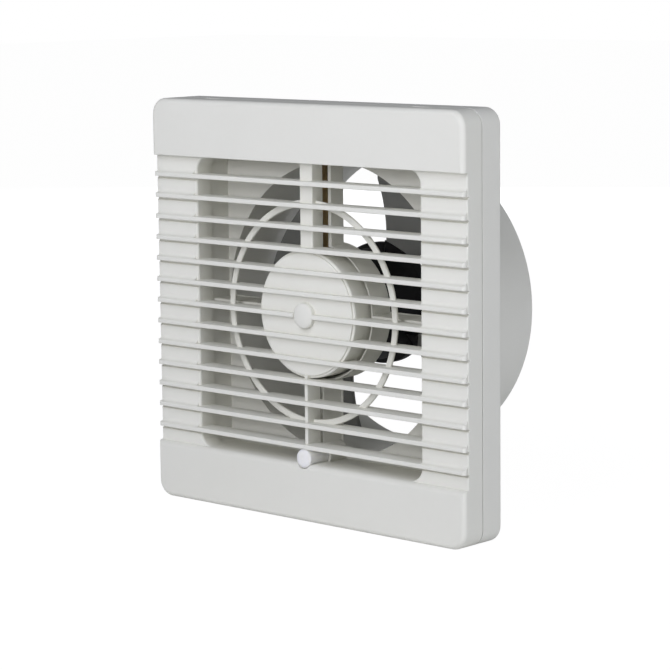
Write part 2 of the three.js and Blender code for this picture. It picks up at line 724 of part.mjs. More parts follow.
function motorEndCover() {
  const bossFront = FRONT_BEARING_FRONT - FIT - CAN_WALL;
  const shell = turned([
    [BEARING_RADIUS + FIT, COVER_REAR],
    [FLANGE_RADIUS, COVER_REAR],
    [FLANGE_RADIUS, COVER_FRONT],
    [BEARING_BOSS_RADIUS, COVER_FRONT],
    [BEARING_BOSS_RADIUS, bossFront],
    [SHAFT_HOLE_RADIUS, bossFront],
    [SHAFT_HOLE_RADIUS, bossFront + CAN_WALL],
    [BEARING_RADIUS + FIT, bossFront + CAN_WALL],
  ]);
  const leadHoles = [BROWN_LEAD_PLACE, BROWN_LEAD_PLACE - LEAD_SPACING].map((x) =>
    rod(LEAD_RADIUS + 2 * FIT, COVER_FRONT - PAST, COVER_REAR + PAST, x, LEAD_EXIT_HEIGHT, 12),
  );
  return cut(shell, ...motorScrewHoles(), ...leadHoles);
}

function statorCore() {
  const yoke = ring(STATOR_RADIUS, STATOR_RADIUS - YOKE_WIDTH, CORE_FRONT, CORE_REAR);
  const poles = Array.from({ length: POLE_COUNT }, (_, i) =>
    aroundY(
      block(
        [ROTOR_RADIUS - OVERLAP, STATOR_RADIUS - YOKE_WIDTH / 2],
        [CORE_FRONT, CORE_REAR],
        [-POLE_WIDTH / 2, POLE_WIDTH / 2],
      ),
      (360 / POLE_COUNT) * i + 180 / POLE_COUNT,
    ),
  );
  const airGap = rod(ROTOR_RADIUS + AIR_GAP, CORE_FRONT - PAST, CORE_REAR + PAST, 0, 0, 48);
  return cut(join(yoke, ...poles), airGap);
}

// A winding round one pole, made on the pole to the right of the axis and turned into place.
function statorCoil(index) {
  const outerX = STATOR_RADIUS - YOKE_WIDTH - FIT;
  const innerHalf = POLE_WIDTH / 2 + FIT;
  const outerHalf = innerHalf + COIL_BUILD;
  const ends = FIT + COIL_BUILD;
  const x = [outerX - COIL_WIDTH, outerX];
  const winding = block(x, [CORE_FRONT - ends, CORE_REAR + ends], [-outerHalf, outerHalf]);
  const inside = block(
    [x[0] - PAST, x[1] + PAST],
    [CORE_FRONT - FIT, CORE_REAR + FIT],
    [-innerHalf, innerHalf],
  );
  // The yoke is round and the winding is square, so its outer corners are cut to clear the yoke.
  const clear = ring(2 * STATOR_RADIUS, outerX, CORE_FRONT - ends - PAST, CORE_REAR + ends + PAST);
  return aroundY(cut(winding, inside, clear), (360 / POLE_COUNT) * index + 180 / POLE_COUNT);
}

function motorScrew([x, z]) {
  const seat = COVER_FRONT - FIT;
  const outline = [
    [0, seat - MOTOR_SCREW_HEAD_HEIGHT],
    [MOTOR_SCREW_HEAD * 0.7, seat - MOTOR_SCREW_HEAD_HEIGHT],
    [MOTOR_SCREW_HEAD, seat - MOTOR_SCREW_HEAD_HEIGHT * 0.5],
    [MOTOR_SCREW_HEAD, seat],
    [MOTOR_SCREW_RADIUS, seat],
    [MOTOR_SCREW_RADIUS, CUP_REAR - FIT],
    [0, CUP_REAR - FIT],
  ];
  return turned(outline, 16).translate([x, 0, z]);
}

function bearing(front) {
  return ring(BEARING_RADIUS, SHAFT_HOLE_RADIUS, front, front + BEARING_LENGTH, 24);
}

// ---------- Impeller and what turns with it ----------

function impellerHub() {
  const inside = HUB_RADIUS - HUB_WALL;
  const floor = HUB_REAR - HUB_WALL;
  const round = HUB_ROUNDING * (1 - Math.SQRT1_2);
  return turned([
    [SHAFT_HOLE_RADIUS, HUB_REAR - HUB_BOSS_LENGTH],
    [HUB_BOSS_RADIUS, HUB_REAR - HUB_BOSS_LENGTH],
    [HUB_BOSS_RADIUS, floor],
    [inside, floor],
    [inside, HUB_FRONT],
    [HUB_RADIUS, HUB_FRONT],
    [HUB_RADIUS, HUB_REAR - HUB_ROUNDING],
    [HUB_RADIUS - round, HUB_REAR - round],
    [HUB_RADIUS - HUB_ROUNDING, HUB_REAR],
    [SHAFT_HOLE_RADIUS, HUB_REAR],
  ]);
}

// A point on a blade's middle surface: out runs from 0 at the root to 1 at the tip, and across from -1 to 1.
function bladePoint(out, across) {
  const root = HUB_RADIUS - HUB_WALL / 2;
  const radius = root + (BLADE_TIP_RADIUS - root) * out;
  const span = BLADE_ROOT_SPAN + (BLADE_TIP_SPAN - BLADE_ROOT_SPAN) * out;
  const intoCorner = Math.max(0, (radius - (BLADE_TIP_RADIUS - BLADE_CORNER)) / BLADE_CORNER);
  const rounding = Math.sqrt(1 - (intoCorner * 0.9) ** 2);
  const side = across * (1 - (1 - rounding) * 0.35);
  const angle = THREE.MathUtils.degToRad(BLADE_START + BLADE_SWEEP * out + (side * span) / 2);
  return new THREE.Vector3(
    radius * Math.cos(angle),
    BLADE_PLACE - (side * BLADE_RISE) / 2,
    radius * Math.sin(angle),
  );
}

function impellerBlade() {
  const outSteps = 9;
  const acrossSteps = 8;
  const faces = [-1, 1].map((side) => {
    const rows = [];
    for (let i = 0; i <= outSteps; i += 1) {
      const out = 1 - (1 - i / outSteps) ** 1.4;
      for (let j = 0; j <= acrossSteps; j += 1) {
        const across = -1 + (2 * j) / acrossSteps;
        const at = bladePoint(out, across);
        const outward = bladePoint(out + 0.01, across).sub(bladePoint(out - 0.01, across));
        const sideways = bladePoint(out, across + 0.01).sub(bladePoint(out, across - 0.01));
        const normal = outward.cross(sideways).normalize();
        rows.push(at.addScaledVector(normal, (side * BLADE_THICKNESS) / 2));
      }
    }
    return rows;
  });
  const perRow = acrossSteps + 1;
  const perFace = perRow * (outSteps + 1);
  const index = [];
  const quad = (a, b, c, d) => index.push(a, b, c, a, c, d);
  for (let i = 0; i < outSteps; i += 1) {
    for (let j = 0; j < acrossSteps; j += 1) {
      const a = i * perRow + j;
      quad(a, a + 1, a + perRow + 1, a + perRow);
      quad(perFace + a, perFace + a + perRow, perFace + a + perRow + 1, perFace + a + 1);
    }
  }
  const rim = [];
  for (let j = 0; j < acrossSteps; j += 1) rim.push(j);
  for (let i = 0; i < outSteps; i += 1) rim.push(i * perRow + acrossSteps);
  for (let j = acrossSteps; j > 0; j -= 1) rim.push(outSteps * perRow + j);
  for (let i = outSteps; i > 0; i -= 1) rim.push(i * perRow);
  rim.forEach((a, k) => {
    const b = rim[(k + 1) % rim.length];
    quad(b, a, perFace + a, perFace + b);
  });
  const geometry = new THREE.BufferGeometry();
  geometry.setAttribute(
    'position',
    new THREE.BufferAttribute(Float32Array.from(faces.flat().flatMap((p) => [p.x, p.y, p.z])), 3),
  );
  geometry.setIndex(index);
  return solid(geometry);
}

function impeller() {
  const blade = impellerBlade();
  const blades = Array.from({ length: BLADE_COUNT }, (_, i) => aroundY(blade, (360 / BLADE_COUNT) * i));
  return join(impellerHub(), ...blades);
}

function motorShaft() {
  const front = FRONT_BEARING_FRONT - FIT - CAN_WALL - SHAFT_TAIL;
  const rear = HUB_REAR + 2 * FIT + WASHER_THICKNESS + NUT_HEIGHT + SHAFT_TAIL;
  return rod(SHAFT_RADIUS, front, rear);
}

function rotorCore() {
  return ring(ROTOR_RADIUS, SHAFT_HOLE_RADIUS, CORE_FRONT, CORE_REAR);
}

function impellerWasher() {
  const front = HUB_REAR + FIT;
  return ring(WASHER_RADIUS, SHAFT_HOLE_RADIUS, front, front + WASHER_THICKNESS, 24);
}

function impellerNut() {
  const front = HUB_REAR + 2 * FIT + WASHER_THICKNESS;
  const cornerRadius = NUT_ACROSS_FLATS / Math.sqrt(3);
  return cut(
    rod(cornerRadius, front, front + NUT_HEIGHT, 0, 0, 6),
    rod(SHAFT_HOLE_RADIUS, front - PAST, front + NUT_HEIGHT + PAST),
  );
}

// ---------- Indicator lamp ----------

function indicatorLens() {
  const front = behindFront(LENS_SETBACK);
  const rear = BOX_FRONT + LENS_SEAT;
  return turned([
    [0, front],
    [LENS_RADIUS - LENS_EDGE, front],
    [LENS_RADIUS, front + LENS_EDGE],
    [LENS_RADIUS, rear],
    [0, rear],
  ], 24).translate([0, 0, -LENS_DROP]);
}

function neonLamp() {
  const front = BOX_FRONT + LENS_SEAT + FIT;
  const rear = SOCKET_REAR - FIT;
  return turned([
    [0, front],
    [LAMP_RADIUS * 0.6, front],
    [LAMP_RADIUS, front + LAMP_RADIUS * 0.6],
    [LAMP_RADIUS, rear],
    [0, rear],
  ], 16).translate([0, 0, -LENS_DROP]);
}

// A thin lead from the lamp, down into the space between the walls, round the right and to the block.
function lampLead(number) {
  const place = number - 1;
  const x = place === 0 ? -LAMP_LEAD_SPREAD : LAMP_LEAD_SPREAD;
  const low = -BACK_PLATE - FIT - LAMP_LEAD_RADIUS - LAMP_LEAD_LIFT - place * (2 * LAMP_LEAD_RADIUS + FIT);
  const gutter = BOX_HALF_OPENING + INNER_WALL + LAMP_LEAD_GUTTER;
  const over = BLOCK_TOP + LAMP_LEAD_RADIUS + LAMP_LEAD_ROOM;
  const lampRear = SOCKET_REAR - LAMP_RADIUS;
  const end = terminalX(place + 1);
  const bend = LAMP_LEAD_BEND;
  const endY = low - bend * 0.34;
  const points = [
    [x, lampRear, -LENS_DROP - LAMP_RADIUS - FIT],
    [x, lampRear, -LENS_DROP - SOCKET_RADIUS - 2 * FIT],
    [x + bend * 0.1, (lampRear + low) / 2, LAMP_LEAD_RADIUS - gutter],
    [x + bend * 0.5, low, -gutter],
    [x + bend * 1.6, low, -gutter],
    [gutter - bend, low, -gutter],
    [gutter - bend * 0.3, low, bend * 0.3 - gutter],
    [gutter, low, bend - gutter],
    [gutter, low, over - bend],
    [gutter - bend * 0.3, low, over - bend * 0.3],
    [gutter - bend, low, over],
    [end + bend * 0.4, low - bend * 0.1, over],
    [end + bend * 0.1, low - bend * 0.3, over - FIT],
    [end, endY, over - bend * 0.1],
    [end, endY, BLOCK_TOP + FIT],
  ];
  return cable(points, LAMP_LEAD_RADIUS, LAMP_LEAD_STEPS, LAMP_LEAD_SIDES);
}

// ---------- Wiring ----------

// A motor lead: out through the motor's cover, up the channel arm, over the inner wall and to the block.
function motorLead(number) {
  const place = number - 1;
  const x = BROWN_LEAD_PLACE - place * LEAD_SPACING;
  const lift = place === 0 ? BROWN_LEAD_LIFT : 2 * FIT;
  const inChannel = CHANNEL_FLOOR_FRONT - LEAD_RADIUS - lift;
  const inside = CORE_FRONT - FIT - COIL_BUILD - FIT - LEAD_TAIL;
  const wall = BOX_HALF_OPENING + INNER_WALL;
  const end = terminalX(place);
  const turnY = inChannel + place * LEAD_STAGGER;
  const runZ = wall + FIT + LEAD_RADIUS + LEAD_LIFT;
  const bend = LEAD_BEND;
  const points = [
    [x, inside, LEAD_EXIT_HEIGHT],
    [x, COVER_FRONT, LEAD_EXIT_HEIGHT],
    [x, (COVER_FRONT + inChannel) / 2 - bend * 0.13, LEAD_EXIT_HEIGHT + bend * 0.16],
    [x, inChannel, LEAD_EXIT_HEIGHT + bend],
    [x, inChannel, CUP_RADIUS - CUP_WALL],
    [x, inChannel, (CUP_RADIUS + wall) / 2],
    [x, inChannel, wall],
    [x + bend * 0.27, (inChannel + turnY) / 2, wall + bend * 0.67],
    [x + bend * 1.1, turnY, runZ],
    [x + bend * 2.2, turnY, runZ],
    [end - bend, turnY, runZ],
    [end - bend * 0.27, turnY, runZ + bend * 0.22],
    [end, turnY, BLOCK_BOTTOM - bend * 0.4],
    [end, turnY, BLOCK_BOTTOM - FIT],
  ];
  return cable(points, LEAD_RADIUS, LEAD_STEPS, LEAD_SIDES);
}

function terminalBlock() {
  const front = BLOCK_REAR - BLOCK_DEPTH;
  const middle = BLOCK_BOTTOM + BLOCK_HEIGHT / 2;
  const body = block(
    [BLOCK_LEFT, BLOCK_LEFT + BLOCK_WIDTH],
    [front, BLOCK_REAR],
    [BLOCK_BOTTOM, BLOCK_TOP],
  );
  const pockets = Array.from({ length: TERMINAL_COUNT }, (_, i) =>
    rod(TERMINAL_HOLE_RADIUS, front - PAST, front + TERMINAL_HOLE_DEPTH, terminalX(i), middle, 16),
  );
  const grooves = Array.from({ length: TERMINAL_COUNT - 1 }, (_, i) => {
    const x = (terminalX(i) + terminalX(i + 1)) / 2;
    const half = TERMINAL_GROOVE / 2;
    const depth = [front - PAST, front + TERMINAL_GROOVE_DEPTH];
    return block([x - half, x + half], depth, [BLOCK_BOTTOM - PAST, BLOCK_TOP + PAST]);
  });
  return cut(body, ...pockets, ...grooves);
}

function terminalScrew(index) {
  const rear = BLOCK_REAR - BLOCK_DEPTH + TERMINAL_HOLE_DEPTH - FIT;
  const middle = BLOCK_BOTTOM + BLOCK_HEIGHT / 2;
  return rod(TERMINAL_HOLE_RADIUS - FIT, rear - TERMINAL_SCREW_HEIGHT, rear, terminalX(index), middle, 16);
}

function cableGrommet() {
  const [x, z] = grommetPlace();
  const neck = GROMMET_HOLE_RADIUS - FIT;
  const flangeRear = -BACK_PLATE - FIT;
  return turned([
    [neck - GROMMET_WALL, flangeRear - GROMMET_FLANGE_THICKNESS],
    [neck + GROMMET_FLANGE, flangeRear - GROMMET_FLANGE_THICKNESS],
    [neck + GROMMET_FLANGE, flangeRear],
    [neck, flangeRear],
    [neck, 0],
    [neck - GROMMET_WALL, 0],
  ], 24).translate([x, 0, z]);
}

// ---------- Assembly ----------

const fan = new THREE.Group();

const box = new THREE.Group();
box.add(
  piece('rear_housing', rearHousing(), BOX_WHITE),
  piece('motor_can', motorCan(), STEEL),
  piece('motor_end_cover', motorEndCover(), STEEL),
  piece('stator_core', statorCore(), DARK_STEEL),
  piece('front_bearing', bearing(FRONT_BEARING_FRONT), BRONZE),
  piece('rear_bearing', bearing(REAR_BEARING_FRONT), BRONZE),
  piece('lead_brown', motorLead(1), BROWN),
  piece('lead_blue', motorLead(2), BLUE),
  piece('terminal_block', terminalBlock(), TERMINAL_WHITE),
  piece('indicator_lens', indicatorLens(), LENS_WHITE),
  piece('neon_lamp', neonLamp(), LAMP_GLASS),
  piece('lamp_lead_1', lampLead(1), BLACK_RUBBER),
  piece('lamp_lead_2', lampLead(2), BLACK_RUBBER),
  piece('cable_grommet', cableGrommet(), BLACK_RUBBER),
);
for (let i = 0; i < POLE_COUNT; i += 1) {
  box.add(piece(`stator_coil_${i + 1}`, statorCoil(i), COPPER));
}
motorScrewPlaces().forEach((place, i) => {
  box.add(piece(`motor_screw_${i + 1}`, motorScrew(place), STEEL));
});
for (let i = 0; i < TERMINAL_COUNT; i += 1) {
  box.add(piece(`terminal_screw_${i + 1}`, terminalScrew(i), STEEL));
}

const rotor = new THREE.Group();
rotor.add(
  piece('impeller', impeller(), BLADE_GREY),
  piece('motor_shaft', motorShaft(), STEEL),
  piece('rotor_core', rotorCore(), DARK_STEEL),
  piece('impeller_washer', impellerWasher(), STEEL),
  piece('impeller_nut', impellerNut(), STEEL),
);

const front = new THREE.Group();
front.add(piece('front_grille', frontGrille(), OFF_WHITE));

fan.add(box, rotor, front);

export default fan;
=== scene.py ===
import json
import logging
import math
from dataclasses import dataclass
from enum import Enum
from typing import Callable, Iterable, Sequence

import bmesh
import bpy
from mathutils import Matrix, Vector


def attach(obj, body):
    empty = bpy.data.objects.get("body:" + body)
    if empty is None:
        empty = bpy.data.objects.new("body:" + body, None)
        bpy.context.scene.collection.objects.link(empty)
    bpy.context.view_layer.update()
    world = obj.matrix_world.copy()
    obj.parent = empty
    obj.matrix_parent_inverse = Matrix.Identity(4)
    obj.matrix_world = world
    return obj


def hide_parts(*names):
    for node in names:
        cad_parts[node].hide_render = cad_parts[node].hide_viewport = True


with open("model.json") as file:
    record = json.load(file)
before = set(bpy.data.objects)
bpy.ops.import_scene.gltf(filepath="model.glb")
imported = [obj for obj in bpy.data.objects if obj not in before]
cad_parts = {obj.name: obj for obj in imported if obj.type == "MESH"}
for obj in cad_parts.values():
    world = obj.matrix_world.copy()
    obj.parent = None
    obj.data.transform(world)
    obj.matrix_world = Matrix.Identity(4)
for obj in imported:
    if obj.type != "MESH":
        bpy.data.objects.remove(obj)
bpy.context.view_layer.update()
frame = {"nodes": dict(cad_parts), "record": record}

# A window exhaust fan. The duct's axis is Y: the room is at -Y, the wall at +Y, and Z is up.
# Pieces are modelled in millimetres and brought to metres when they are finished.

log = logging.getLogger("window_fan")

MM = 0.001
TINY = 1e-4  # mm
MERGE = 0.002  # points closer than this, in mm, become one
PAST = 3.0  # how far cutters reach past a moulding, in mm
AXES = {"X": 0, "Y": 1, "Z": 2}

Piece = bpy.types.Object
Point = Sequence[float]
Pair = tuple[float, float]
Triple = tuple[float, float, float]
Outline = Sequence[Pair]
Colour = tuple[int, int, int]


class Body(Enum):
    """The bodies that pieces ride on."""

    HOUSING = "housing"
    ROTOR = "rotor"
    GRILLE = "grille"


# ---------------------------------------------------------------- work on meshes

def only(piece: Piece) -> None:
    """Select one piece alone and make it the active one.

    Args:
        piece: the piece.
    """
    bpy.ops.object.select_all(action="DESELECT")
    piece.select_set(True)
    bpy.context.view_layer.objects.active = piece


def start_edit(piece: Piece) -> None:
    """Open a piece in edit mode."""
    only(piece)
    bpy.ops.object.mode_set(mode="EDIT")


def end_edit() -> None:
    """Go back to object mode."""
    bpy.ops.object.mode_set(mode="OBJECT")


def outwards() -> None:
    """Turn all faces of the open piece outwards and go back to object mode."""
    bpy.ops.mesh.select_all(action="SELECT")
    bpy.ops.mesh.normals_make_consistent(inside=False)
    end_edit()


def pick(piece: Piece, kind: str, test: Callable[[object], bool]) -> None:
    """Select what passes a test in the open piece.

    Args:
        piece: the open piece.
        kind: VERT, EDGE or FACE.
        test: says whether an element is selected.
    """
    bpy.ops.mesh.select_mode(type=kind)
    bpy.ops.mesh.select_all(action="DESELECT")
    mesh = bmesh.from_edit_mesh(piece.data)
    for item in {"VERT": mesh.verts, "EDGE": mesh.edges, "FACE": mesh.faces}[kind]:
        if test(item):
            item.select_set(True)
    bmesh.update_edit_mesh(piece.data)


def new_piece(name: str) -> Piece:
    """Name the new primitive and put its place in its mesh.

    Args:
        name: its name.

    Returns:
        The object, at the origin.
    """
    piece = bpy.context.object
    piece.name = name
    piece.data.name = name
    only(piece)
    bpy.ops.object.transform_apply(location=True, rotation=True, scale=True)
    return piece


def bevel(width: float, segments: int = 4) -> None:
    """Round the selected edges of the open piece."""
    bpy.ops.mesh.bevel(offset=width, segments=segments, affect="EDGES", clamp_overlap=False)


def block(name: str, low: Point, high: Point, corner: float = 0.0, front: float = 0.0,
          rear: float = 0.0, along: str = "Y", steps: int = 6) -> Piece:
    """Make a box with rounded corners and rounded rims.

    Args:
        name: its name.
        low: lowest corner, in mm.
        high: highest corner.
        corner: radius of the four long edges.
        front: radius of the rim at the low end.
        rear: radius of the rim at the high end.
        along: the axis of the long edges.
        steps: segments in a rounding.

    Returns:
        The box.
    """
    low, high = Vector(low), Vector(high)
    bpy.ops.mesh.primitive_cube_add(size=1, location=(low + high) / 2)
    bpy.context.object.scale = high - low
    piece = new_piece(name)
    axis = AXES[along]
    start_edit(piece)
    if corner:
        pick(piece, "EDGE", lambda e: abs(e.verts[0].co[axis] - e.verts[1].co[axis]) > TINY)
        bevel(corner, steps)
    for radius, level in ((front, low[axis]), (rear, high[axis])):
        if radius:
            pick(piece, "EDGE", lambda e: all(abs(v.co[axis] - level) < TINY for v in e.verts))
            bevel(radius, max(2, steps // 2))
    end_edit()
    return piece


def rod(name: str, start: Point, end: Point, radius: float, rim: float = 0.0,
        sides: int = 48) -> Piece:
    """Make a straight round bar between two points.

    Args:
        name: its name.
        start: middle of one end, in mm.
        end: middle of the other end.
        radius: the bar's radius.
        rim: rounding at both ends.
        sides: number of sides.

    Returns:
        The bar.
    """
    start, end = Vector(start), Vector(end)
    way = end - start
    turn = way.to_track_quat("Z", "Y").to_euler()
    bpy.ops.mesh.primitive_cylinder_add(vertices=sides, radius=radius, depth=way.length,
                                        location=(start + end) / 2, rotation=turn)
    piece = new_piece(name)
    if rim:
        direction = way.normalized()
        start_edit(piece)
        pick(piece, "EDGE", lambda e: abs((e.verts[0].co - e.verts[1].co).dot(direction)) < TINY)
        bevel(rim, 3)
        end_edit()
    return piece


def turned(name: str, profile: Outline, sides: int = 128, centre: Pair = (0, 0),
           ring: bool = True) -> Piece:
    """Turn a profile about an axis along Y.

    Args:
        name: its name.
        profile: (radius, y) points, with every radius above 0.
        sides: number of sides.
        centre: x and z of the axis.
        ring: True joins the last loop to the first, False caps both.

    Returns:
        The turned piece.
    """
    radius, level = profile[0]
    bpy.ops.mesh.primitive_circle_add(vertices=sides, radius=radius, fill_type="NOTHING",
                                      location=(centre[0], level, centre[1]),
                                      rotation=(math.pi / 2, 0, 0))
    piece = new_piece(name)
    start_edit(piece)
    bpy.ops.mesh.select_mode(type="EDGE")
    bpy.ops.mesh.select_all(action="SELECT")
    rest = list(profile[1:]) + ([profile[0]] if ring else [])
    for wide, deep in rest:
        bpy.ops.mesh.extrude_edges_move(TRANSFORM_OT_translate={"value": (0, deep - level, 0)})
        scale = wide / radius
        bpy.ops.transform.resize(value=(scale, 1, scale),
                                 center_override=(centre[0], deep, centre[1]))
        radius, level = wide, deep
    bpy.ops.mesh.select_all(action="SELECT")
    if ring:
        bpy.ops.mesh.remove_doubles(threshold=MERGE)
    else:
        bpy.ops.mesh.fill_holes(sides=0)
    outwards()
    return piece


def drawn(name: str, outline: Outline, across: str, low: float, high: float) -> Piece:
    """Draw an outline, fill it and pull it out into a bar.

    Args:
        name: its name.
        outline: its points on the other two axes.
        across: the axis that it is pulled along.
        low: where the bar starts.
        high: where it ends.

    Returns:
        The bar.
    """
    axis = AXES[across]
    first, second = [a for a in (0, 1, 2) if a != axis]

    points = [Vector((0, 0, 0)) for _ in outline]
    for spot, (one, other) in zip(points, outline):
        spot[axis], spot[first], spot[second] = low, one, other
    bpy.ops.mesh.primitive_plane_add(size=1, location=points[0])
    piece = new_piece(name)
    start_edit(piece)
    bpy.ops.mesh.select_mode(type="VERT")
    bpy.ops.mesh.select_all(action="SELECT")
    bpy.ops.mesh.merge(type="CENTER")
    for here, there in zip(points, points[1:] + points[:1]):
        bpy.ops.mesh.extrude_vertices_move(TRANSFORM_OT_translate={"value": there - here})
    bpy.ops.mesh.select_all(action="SELECT")
    bpy.ops.mesh.remove_doubles(threshold=MERGE)
    bpy.ops.mesh.edge_face_add()
    pull = Vector((0, 0, 0))
    pull[axis] = high - low
    bpy.ops.mesh.extrude_region_move(TRANSFORM_OT_translate={"value": pull})
    outwards()
    return piece


def softened(corners: Sequence[Triple], steps: int = 4) -> list[Pair]:
    """Round the corners of a closed outline.

    Args:
        corners: (a, b, radius) for each corner.
        steps: segments in a rounding.

    Returns:
        The outline's points.
    """
    points: list[Pair] = []
    count = len(corners)
    for index, (a, b, radius) in enumerate(corners):
        here = Vector((a, b))
        if radius <= 0:
            points.append((a, b))
            continue
        back = (Vector(corners[index - 1][:2]) - here).normalized()
        ahead = (Vector(corners[(index + 1) % count][:2]) - here).normalized()
        half = back.angle(ahead) / 2
        reach = radius / math.tan(half)
        middle = here + (back + ahead).normalized() * (radius / math.sin(half))
        start = here + back * reach - middle
        turn = start.angle_signed(here + ahead * reach - middle)
        for step in range(steps + 1):
            angle = -turn * step / steps
            spoke = Matrix.Rotation(angle, 2) @ start
            points.append((middle.x + spoke.x, middle.y + spoke.y))
    return points


def combine(piece: Piece, others: Iterable[Piece],
            how: str) -> Piece:
    """Join pieces to this one, cut them from it, or keep what they share.

    Args:
        piece: the piece that is changed.
        others: the pieces that are used up.
        how: the kind of Boolean.

    Returns:
        The changed piece.
    """
    for other in others:
        before = len(piece.data.polygons)
        for solver in ("MANIFOLD", "EXACT"):
            only(piece)
            change = piece.modifiers.new("combine", "BOOLEAN")
            change.operation = how
            change.solver = solver
            change.object = other
            kept = piece.data.copy()
            bpy.ops.object.modifier_apply(modifier=change.name)
            if piece.data.polygons and (len(piece.data.polygons) != before or solver == "EXACT"):
                bpy.data.meshes.remove(kept)
                break
            log.warning("%s: %s left %s unchanged with %s", piece.name, other.name, how, solver)
            piece.data = kept
        bpy.data.objects.remove(other)
    return piece


def weld(piece: Piece, *others: Piece) -> Piece:
    """Join other pieces to this one."""
    return combine(piece, others, "UNION")


def carve(piece: Piece, *others: Piece) -> Piece:
    """Cut other pieces from this one."""
    return combine(piece, others, "DIFFERENCE")


def joined(piece: Piece, others: Iterable[Piece]) -> Piece:
    """Gather pieces in one object, uncut.

    Args:
        piece: the piece that stays.
        others: the pieces that are used up.

    Returns:
        The piece.
    """
    only(piece)
    for other in others:
        other.select_set(True)
    bpy.ops.object.join()
    return piece


def placed(name: str, data: bpy.types.ID) -> Piece:
    """Put a mesh, a lamp or a camera in the scene.

    Args:
        name: its name.
        data: what it shows.

    Returns:
        The object, at the origin.
    """
    thing = bpy.data.objects.new(name, data)
    bpy.context.scene.collection.objects.link(thing)
    return thing


def turned_round(piece: Piece, degrees: float) -> Piece:
    """Turn a piece about the duct's axis and put the turn in its mesh.

    Args:
        piece: the piece.
        degrees: how far it is turned.

    Returns:
        The turned piece.
    """
    only(piece)
    piece.matrix_world = Matrix.Rotation(math.radians(degrees), 4, "Y") @ piece.matrix_world
    bpy.ops.object.transform_apply(location=True, rotation=True, scale=False)
    return piece


def use_modifier(piece: Piece, kind: str, **settings: object) -> None:
    """Add a modifier to a piece and apply it.

    Args:
        piece: the piece.
        kind: the modifier's type.
        settings: the modifier's settings by name.
    """
    only(piece)
    change = piece.modifiers.new(kind.lower(), kind)
    for key, value in settings.items():
        setattr(change, key, value)
    bpy.ops.object.modifier_apply(modifier=change.name)


def finish_piece(piece: Piece, body: Body, material: bpy.types.Material, node: str,
                 angle: float = 32.0, in_mm: bool = True) -> None:
    """Bring a piece to metres, smooth it, dress it and tie it to the frame.

    Args:
        piece: the piece.
        body: the body that it rides on.
        material: its finish.
        node: the node that it stands for.
        angle: sharper edges stay crisp, in degrees.
        in_mm: False where the mesh is in metres.
    """
    only(piece)
    if in_mm:
        piece.scale = (MM, MM, MM)
        bpy.ops.object.transform_apply(location=True, rotation=True, scale=True)
    bpy.ops.object.shade_smooth_by_angle(angle=math.radians(angle))
    use_modifier(piece, "WEIGHTED_NORMAL", keep_sharp=True, weight=60)
    piece.data.materials.clear()
    piece.data.materials.append(material)
    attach(piece, body.value)
    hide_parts(node)
    log.info("%s: %d faces, rides on %s", piece.name, len(piece.data.polygons), body.value)


def copy_of_node(node: str, name: str, edge: float) -> Piece:
    """Copy a node's mesh, merge its triangles and soften its edges.

    Args:
        node: the node.
        name: the copy's name.
        edge: radius of its edges, in mm.

    Returns:
        The copy, in metres.
    """
    mesh = frame["nodes"][node].data.copy()
    mesh.name = name
    mesh.materials.clear()
    piece = placed(name, mesh)
    start_edit(piece)
    bpy.ops.mesh.select_all(action="SELECT")
    bpy.ops.mesh.remove_doubles(threshold=MERGE * MM)
    bpy.ops.mesh.dissolve_limited(angle_limit=math.radians(1))
    end_edit()
    use_modifier(piece, "BEVEL", width=edge * MM, segments=2, limit_method="ANGLE",
                 angle_limit=math.radians(35), use_clamp_overlap=True)
    return piece


# ---------------------------------------------------------------- finishes

def linear(colour: Colour, share: float = 1.0, lift: float = 0.0) -> tuple[float, ...]:
    """Turn a screen colour into the shader's linear colour.

    Args:
        colour: red, green and blue up to 255.
        share: what it is multiplied by.
        lift: what is then added.

    Returns:
        Red, green, blue and 1.
    """
    parts = [value / 255 for value in colour]
    decoded = [p / 12.92 if p <= 0.04045 else ((p + 0.055) / 1.055) ** 2.4 for p in parts]
    return tuple(min(1.0, value * share + lift) for value in decoded) + (1.0,)


class Value:
    """A shader number that Python's arithmetic can be used on."""

    def __init__(self, graph: "Graph", socket: bpy.types.NodeSocket) -> None:
        """Keep the graph and the node's output."""
        self.graph = graph
        self.socket = socket

    def _with(self, operation: str, first: object, second: object) -> "Value":
        """Add a Math node for two values."""
        return self.graph.node("ShaderNodeMath", {"operation": operation}, {0: first, 1: second})

    def __add__(self, other: object) -> "Value":
        """Add."""
        return self._with("ADD", self, other)

    __radd__ = __add__

    def __sub__(self, other: object) -> "Value":
        """Take away."""
        return self._with("SUBTRACT", self, other)

    def __rsub__(self, other: object) -> "Value":
        """Take this from a number."""
        return self._with("SUBTRACT", other, self)

    def __mul__(self, other: object) -> "Value":
        """Multiply."""
        return self._with("MULTIPLY", self, other)

    __rmul__ = __mul__

    def held(self) -> "Value":
        """Keep the value between 0 and 1."""
        return self.graph.node("ShaderNodeClamp", {}, {"Value": self})


